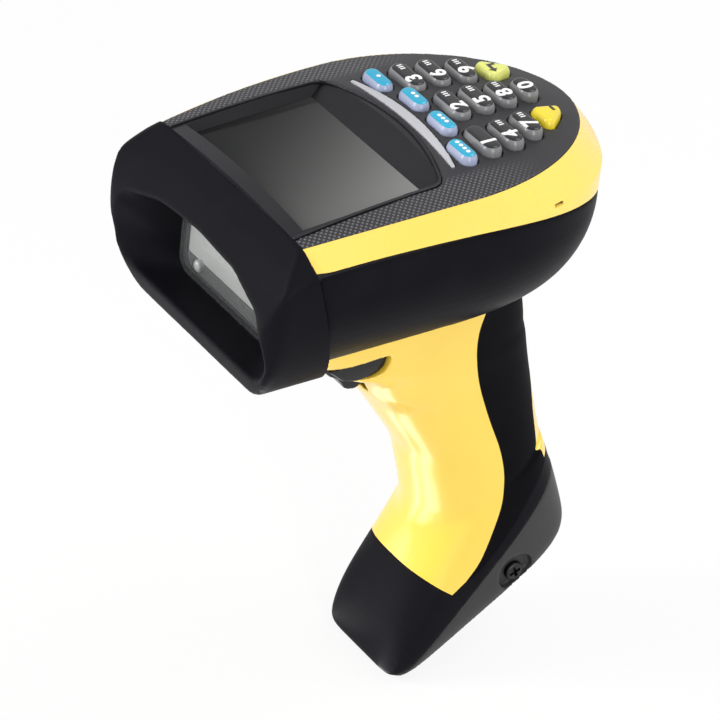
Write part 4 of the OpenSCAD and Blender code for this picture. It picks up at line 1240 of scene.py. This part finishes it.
def spine_zone(name):
    """The strip between the two grips."""
    half = fair(SPINE, 5)
    return prism(name, half + [(-x, z) for x, z in reversed(half)], "Y", -30, 90)


def grip_lines():
    """The grips, seen from the side."""
    return fair(WAVE, 5) + fair(HEEL, 5)[1:] + [(60, 20), (60, 66)]


def base_lines():
    """The base below chin and heel, seen from the side."""
    return fair(HEEL, 5) + [(60, -90), (-60, -90), (-60, -27)] + fair(CHIN, 5)[::-1] + fair(TIP, 2)[::-1][1:-1]


def over_cover(name):
    """What lies above the base cover, with a gap."""
    return across(name, [cover_line(-40, COVER_GAP), cover_line(150, COVER_GAP), (80, 150), (-140, 150)])


def below_cover(name):
    """What belongs to the base cover."""
    return across(name, [cover_line(-40, 0), (-60, -140), (90, -140), cover_line(150, 0)])


print("wave points:", len(fair(WAVE, 5)))

# %% [markdown]
# ## The yellow handle
# The moulding runs the whole height: full size in front and down the spine, and drawn in where the grips
# and the boot are laid on. It is hollow for the cell, and notched for the finger and the trigger. The front
# is rounded first and cut along the wave last; the drawn-in core and the spine are pieces of their own.

# %% Yellow handle
SKIN, TUBE_WALL = 2.0, 2.4
TRIGGER_SLOT = (-7, -80, 34.4), (7, -36.5, 54.4)
ROUGH_FRONT = [(-100, 70), (-5, 70), (10, 0), (10, -50), (-100, -50)]


def handle_tube(name, inset):
    """The handle's form as a hollow tube."""
    tube = loft(name, handle_rings(inset))
    cut(tube, loft("hollow", handle_rings(SKIN + TUBE_WALL)))
    return tube


def open_for_trigger(piece):
    """Cuts the finger notch through the sides and the trigger's slot."""
    cut(piece, across("notch", about_pivot(NOTCH)))
    cut(piece, block("slot", *TRIGGER_SLOT))


def finish_below_head(piece, finish, stands_for=()):
    """Cuts away what would lie in the head, keeps the edges crisp and settles the piece."""
    cut(piece, loft("head", head_rings(0)))
    keep_edges(piece, 35)
    settle(piece, finish, stands_for=stands_for)


def make_handle():
    front = handle_tube("handle_skin", 0)
    keep(front, across("rough_zone", ROUGH_FRONT))
    open_for_trigger(front)
    soften(front, 0.5, 12)
    keep(front, across("front_zone", front_lines()))
    finish_below_head(front, YELLOW, ["handle_shell"])
    core = handle_tube("handle_core", SKIN)
    keep(core, over_cover("over"))
    cut(core, across("front_zone", front_lines()))
    finish_below_head(core, YELLOW)
    spine = handle_tube("handle_spine", 0.05)
    keep(spine, across("rear_zone", grip_lines()))
    keep(spine, spine_zone("spine_zone"))
    finish_below_head(spine, YELLOW)


make_handle()

# %% [markdown]
# ## Grips, base boot and cover
# The soft grips are shells two millimetres thick that fill the drawn-in sides of the handle, with the yellow
# spine between them.

# %% Grips


def make_grip(name, node, side):
    grip = loft(name, handle_rings(0))
    cut(grip, loft("inner", handle_rings(SKIN)))
    keep(grip, across("zone", grip_lines()))
    slice_off(grip, (side * 0.5, 0, 0), (-side, 0, 0))
    cut(grip, spine_zone("spine_gap"))
    finish_below_head(grip, GRIP, [node])


make_grip("grip_skin_left", "grip_left", 1)
make_grip("grip_skin_right", "grip_right", -1)

# %% [markdown]
# The boot does the same at the base. The cover below it stands a little proud and is hollow. On the near side
# it has a boss with an arched pocket for its screw.

# %% Base boot and cover
SCREW_U, SCREW_V, SCREW_HOLE_R = 47.4, 3.6, 1.7
SCREW_BOSS_R, SCREW_BOSS_X = 8, 13.2
POCKET_R, POCKET_LIFT, POCKET_FLOOR, POCKET_X = 6.2, 1, 0.45, 16.3
COVER_PROUD, COVER_WALL = 0.2, 2.4


def side_rod(name, u, v, radius, low, high):
    """A round bar along X at a place of the base."""
    return prism(name, disc(*base_point(u, v), radius, 48), "X", low, high)


def make_base():
    boot = loft("base_boot_skin", handle_rings(0))
    cut(boot, loft("inner", handle_rings(SKIN)))
    keep(boot, across("zone", base_lines()))
    keep(boot, over_cover("over"))
    soften(boot, 0.45, 6)
    settle(boot, BOOT, stands_for=["base_boot"])
    cover = loft("cover_skin", handle_rings(-COVER_PROUD))
    keep(cover, below_cover("below"))
    room = loft("room", handle_rings(COVER_WALL))
    floor = [base_point(u, v) for u, v in ((-40, -60), (150, -60), (150, COVER_WALL), (-40, COVER_WALL))]
    cut(room, across("floor", floor))
    cut(room, side_rod("boss", SCREW_U, SCREW_V, SCREW_BOSS_R, SCREW_BOSS_X, 60))
    cut(cover, room)
    arch = disc(SCREW_U, SCREW_V + POCKET_LIFT, POCKET_R, 48)
    arch = [base_point(u, max(v, POCKET_FLOOR)) for u, v in arch]
    cut(cover, prism("pocket", arch, "X", POCKET_X, 60))
    cut(cover, side_rod("screw_hole", SCREW_U, SCREW_V, SCREW_HOLE_R, -2, 60))
    soften(cover, 0.45, 6)
    settle(cover, COVER, stands_for=["battery_cover"])


make_base()

# %% [markdown]
# ## The trigger
# A short curled lever turns on a pin behind the notch. It is cut from its side outline and rounded like
# the rest. It rides on the trigger's own body, so it swings when the joint does.

# %% Trigger
LEVER = [(-3.5, -3.5), (-11.5, -10.9), (-11.8, -12.9), (-10, -14.8), (-7.5, -16.2), (-6, -18.2),
         (-4.5, -20.2), (-1.5, -21.2), (0.6, -20.4), (1.6, -17), (2.2, -11), (3.7, -3.6)]
LEVER_HALF, HUB_R, PIN_R = 6.5, 4.2, 1.6
SPRING_ROOM = (-2.6, PIVOT[0] - 5.5, PIVOT[1] - 4.6), (2.6, PIVOT[0] + 5.5, PIVOT[1] + 5.5)


def make_trigger():
    lever = prism("trigger_skin", about_pivot(fair(LEVER, 4)), "X", -LEVER_HALF, LEVER_HALF)
    cut(lever, prism("hub", disc(*PIVOT, HUB_R, 40), "X", -LEVER_HALF, LEVER_HALF), "UNION")
    cut(lever, block("spring_room", *SPRING_ROOM))
    cut(lever, across("pin_hole", disc(*PIVOT, PIN_R, 24)))
    soften(lever, 0.35, 8)
    settle(lever, TRIGGER, body="trigger_body", stands_for=["trigger"])


make_trigger()

# %% [markdown]
# On either side of the lever, a black block fills the cheek's notch, where the sunk trigger housing shows.

# %% Notch liners
NOTCH_FILL = [(-18, -4.9), (0.3, -3.4), (1.1, -4.2), (1.1, -5.5), (0.5, -7.8), (-1.3, -9.4), (-4.4, -10.2),
              (-8.5, -10.4), (-13, -9.2)]
LINER_X = (7.4, 16.4)


def make_notch_liner(name, side):
    outline = about_pivot(NOTCH_FILL)
    liner = prism(name, outline if side > 0 else outline[::-1], "X", *sorted(side * x for x in LINER_X))
    bevel(liner, 0.5, 3)
    keep_edges(liner, 40)
    settle(liner, TRIGGER)


make_notch_liner("notch_liner_left", 1)
make_notch_liner("notch_liner_right", -1)

# %% [markdown]
# ## The keys
# Sixteen keys stand proud of the top. Fourteen have round ends, and the two in the rear corners are rounded
# triangles. Each outline is extruded upwards with a thin flange that stays under the top, then drawn in over a
# few rings so that the upper edge is soft. The top face and the sides have their own finish, because the real
# keys are painted on top and bare at the sides. Every key rides on its own body and sinks when its joint does.

# %% Key shapes
KEY_BASE, KEY_PROUD, CORNER_LOWER, FLANGE = 112.0, 2.4, 0.7, 0.6
# how far the outline is drawn in, and how far below the key's top, ring by ring
KEY_RINGS = [(0, 1.9), (0.3, 1.05), (0.68, 0.45), (0.92, 0.22), (1.15, 0.1), (1.5, 0.03), (2.1, 0)]
# how far below its top a key is painted, and the most that a corner key is drawn in
PAINT_EDGE, CORNER_DRAW = 0.50, 1.75


def key_rings(outline, top):
    """Rings of one key; outline(grow) gives its plan."""
    rings = []
    for grow, z in ((FLANGE, KEY_BASE), (FLANGE, KEY_BASE + 0.8), (0, KEY_BASE + 0.82)):
        rings.append([(x, y, z) for x, y in outline(grow)])
    for draw_in, below in KEY_RINGS:
        rings.append([(x, y, top - below) for x, y in outline(-draw_in)])
    return rings


def make_key(node, outline, top, side_finish, top_finish):
    """One key with painted top and bare sides."""
    key = loft(node + "_cap", key_rings(outline, top))
    keep_edges(key, 40)
    settle(key, side_finish, body=node + "_body", stands_for=[node])
    key.data.materials.append(top_finish["material"])
    for face in key.data.polygons:
        face.material_index = 1 if face.center.z > (top - PAINT_EDGE) * MM else 0
    return key


def key_top(x, y):
    """Height of a key's top."""
    return top_z(x, y) + KEY_PROUD


CORNER_TOP = key_top(*CORNER_AT) - CORNER_LOWER
for node, x, y, length, width in key_table():
    blue = node.startswith("key_f")
    make_key(node, lambda grow: round_ended(x, y, length + 2 * grow, width + 2 * grow), key_top(x, y),
             BLUE_SIDE if blue else KEY_SIDE, BLUE_TOP if blue else KEY_TOP)
for node, side, paint, slot in (("key_clear", 1, AMBER, "key_amber"), ("key_enter", -1, LIME, "key_lime")):
    make_key(node, lambda grow: corner_outline(side, max(grow, -CORNER_DRAW)), CORNER_TOP, paint, paint)

# %% [markdown]
# The print on the keys is kept to what any keypad has: digits, most with three plain strokes beside them, dots
# that number the blue keys, a bar and a bent arrow. A digit starts as a text object. It becomes a mesh, and
# only then takes its place on the key: turned to read from behind, where the user's hand is.

# %% Key print
# millimetres per unit of text, for digits 4.7 mm tall; their half depth in text units, and how it is flattened
DIGIT_SIZE, DIGIT_DEPTH, FLATTEN, BOLD = 4.7 / 0.72, 0.05, 0.5, 0.03
PRINT_T, DIGIT_FROM_END = 0.07, 4.2
DOT_R, DOT_STEP = 0.62, 1.75
TICK_FROM_END, TICK_STEP, TICK_W, TICK_HALF = 2.2, 0.95, 0.45, 0.8
BAR_MARK = [(11.4, 4.3), (13.6, 4.3), (13.6, 5.2), (11.4, 5.2)]
ARROW_MARK = [(-12, 3.3), (-12, 2.4), (-13.9, 2.4), (-13.9, 3.9), (-14.8, 3.9), (-14.8, 1.4), (-12, 1.4),
              (-12, 0.5), (-10.5, 1.9)]


def digit_mesh(name, digit, x, y, top):
    """A bold digit as a thin mesh, its top towards the nose; a nine is a six turned round."""
    start_clean()
    bpy.ops.object.text_add()
    text = bpy.context.object
    text.data.body = "6" if digit == "9" else digit
    text.data.align_x = "CENTER"
    text.data.align_y = "CENTER"
    text.data.offset = BOLD
    text.data.extrude = DIGIT_DEPTH
    bpy.ops.object.convert(target="MESH")
    piece = bpy.context.object
    piece.name = piece.data.name = name
    size = DIGIT_SIZE * MM
    place = Matrix.Translation(Vector((x, y, top + PRINT_T - DIGIT_DEPTH * DIGIT_SIZE * FLATTEN)) * MM)
    turn = Matrix.Rotation(0 if digit == "9" else math.pi, 4, "Z")
    piece.data.transform(place @ turn @ Matrix.Diagonal((size, size, size * FLATTEN, 1)))
    piece.matrix_world = Matrix.Identity(4)
    return piece


def print_on(piece, finish, node):
    dress(piece, finish)
    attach(piece, node + "_body")


def mark(name, outline, top):
    """A flat printed shape on a key."""
    return prism(name, outline, "Z", top - 0.3, top + PRINT_T)


for node, x, y, length, width in key_table():
    top = key_top(x, y)
    if node.startswith("key_f"):
        count = int(node[-1])
        for i in range(count):
            middle = x + DOT_STEP * (i - (count - 1) / 2)
            print_on(mark(f"{node}_dot_{i + 1}", disc(middle, y, DOT_R), top), PRINT, node)
    else:
        digit = digit_mesh(f"{node}_digit", node[-1], x + length / 2 - DIGIT_FROM_END, y, top)
        print_on(digit, PRINT, node)
        for i in range(3 if node[-1] not in "01" else 0):
            left = x - length / 2 + TICK_FROM_END + TICK_STEP * i
            low, high, right = y - TICK_HALF, y + TICK_HALF, left + TICK_W
            tick = mark(f"{node}_tick_{i + 1}", [(left, low), (right, low), (right, high), (left, high)], top)
            print_on(tick, PRINT, node)

print_on(mark("key_clear_bar", BAR_MARK, CORNER_TOP), PRINT_DARK, "key_clear")
print_on(mark("key_enter_arrow", ARROW_MARK, CORNER_TOP), PRINT_DARK, "key_enter")
print("printed keys:", len(key_table()) + 2)

# %% [markdown]
# ## Behind the window
# The clear pane has two holes for the lamps. A pale reflector fills the upper part behind it, and a dark strip
# lies below. Both are thin plates, extruded from an outline and softened at the edge; the lamps are domes.

# %% Window and what lies behind it
PANE_Y, PLATE_BACK, PLATE_HALF, PLATE_R = (-89.4, -88.2), -86.8, 23.4, 1.5
# name, lower and upper edge, front, finish and the CAD node that the plate stands for
# both plates carry a painted glow in their finishes
PLATES = [("diffuser_plate", 77.6, 89, -87.4, REFLECTOR_WITH_PAINTED_GLOW, ()),
          ("lamp_strip", 71, 74.4, -87.6, LAMP_PLATE_WITH_PAINTED_GLOW, ["lamp_board"])]
LAMP_X, LAMP_Z, LAMP_HOLE_R = 16.7, 75, 2.1
# Y and radius of each ring of a lamp
DOME = [(PLATE_BACK, 1.8), (-88.6, 1.8), (-89.0, 1.5), (-89.2, 0.9), (-89.25, 0.3)]


def make_window_back():
    pane = prism("window_pane", grown(PANE, PANE_R), "Y", *PANE_Y)
    for side in (1, -1):
        cut(pane, prism("lamp_hole", disc(side * LAMP_X, LAMP_Z, LAMP_HOLE_R), "Y", -95, -80))
    settle(pane, WINDOW, stands_for=["scan_window"])
    for name, low, high, front, finish, stands_for in PLATES:
        corners = [(-PLATE_HALF, low), (PLATE_HALF, low), (PLATE_HALF, high), (-PLATE_HALF, high)]
        plate = prism(name, grown(corners, PLATE_R), "Y", front, PLATE_BACK)
        bevel(plate, 0.2)
        settle(plate, finish, stands_for=stands_for)
    for name, side, stands_for in (("lamp_dome_left", 1, ["aimer_lenses"]), ("lamp_dome_right", -1, ())):
        dome = loft(name, [[(x, y, z) for x, z in disc(side * LAMP_X, LAMP_Z, r)] for y, r in DOME])
        keep_edges(dome, 50)
        settle(dome, LAMP_LENS, stands_for=stands_for)


make_window_back()

# %% [markdown]
# ## Small parts
# A dark liner closes the band's sound slot; its dark is painted shade, standing in for the shade inside the
# slot.
# The cover screw has a flat round head with a crossed recess, cut with two blocks.

# %% Sound slot and cover screw
SLOT_SHADE_LINER_X = (37.2, 38.0)
# X and radius of each ring of the screw
SCREW_RINGS = [(6.6, 1.2), (7.0, 1.5), (16.3, 1.5), (16.3, 3.0), (17.55, 3.0), (17.9, 2.8), (18.1, 2.4)]
RECESS_TURN, RECESS_L, RECESS_HALF, RECESS_X = 0.4, 1.9, 0.5, 16.9


def make_slot_shade_liner():
    # painted shade: the dark liner stands in for the shade inside the slot
    liner = prism("sound_slot_painted_shade", SLOT, "X", *SLOT_SHADE_LINER_X)
    bevel(liner, 0.1)
    settle(liner, PRINT_DARK)


def make_cover_screw():
    y, z = base_point(SCREW_U, SCREW_V)
    screw = loft("cover_screw_head", [[(x + 0.001 * i, a, b) for a, b in disc(y, z, r, 40)]
                                      for i, (x, r) in enumerate(SCREW_RINGS)])
    for turn in (RECESS_TURN, RECESS_TURN + math.pi / 2):
        c, s = math.cos(turn), math.sin(turn)
        corners = [(y + c * RECESS_L * i - s * RECESS_HALF * k, z + s * RECESS_L * i + c * RECESS_HALF * k)
                   for i, k in ((-1, -1), (1, -1), (1, 1), (-1, 1))]
        cut(screw, prism("recess", corners, "X", RECESS_X, 19))
    keep_edges(screw, 35)
    settle(screw, DARK_STEEL, stands_for=["cover_screw"])


make_slot_shade_liner()
make_cover_screw()
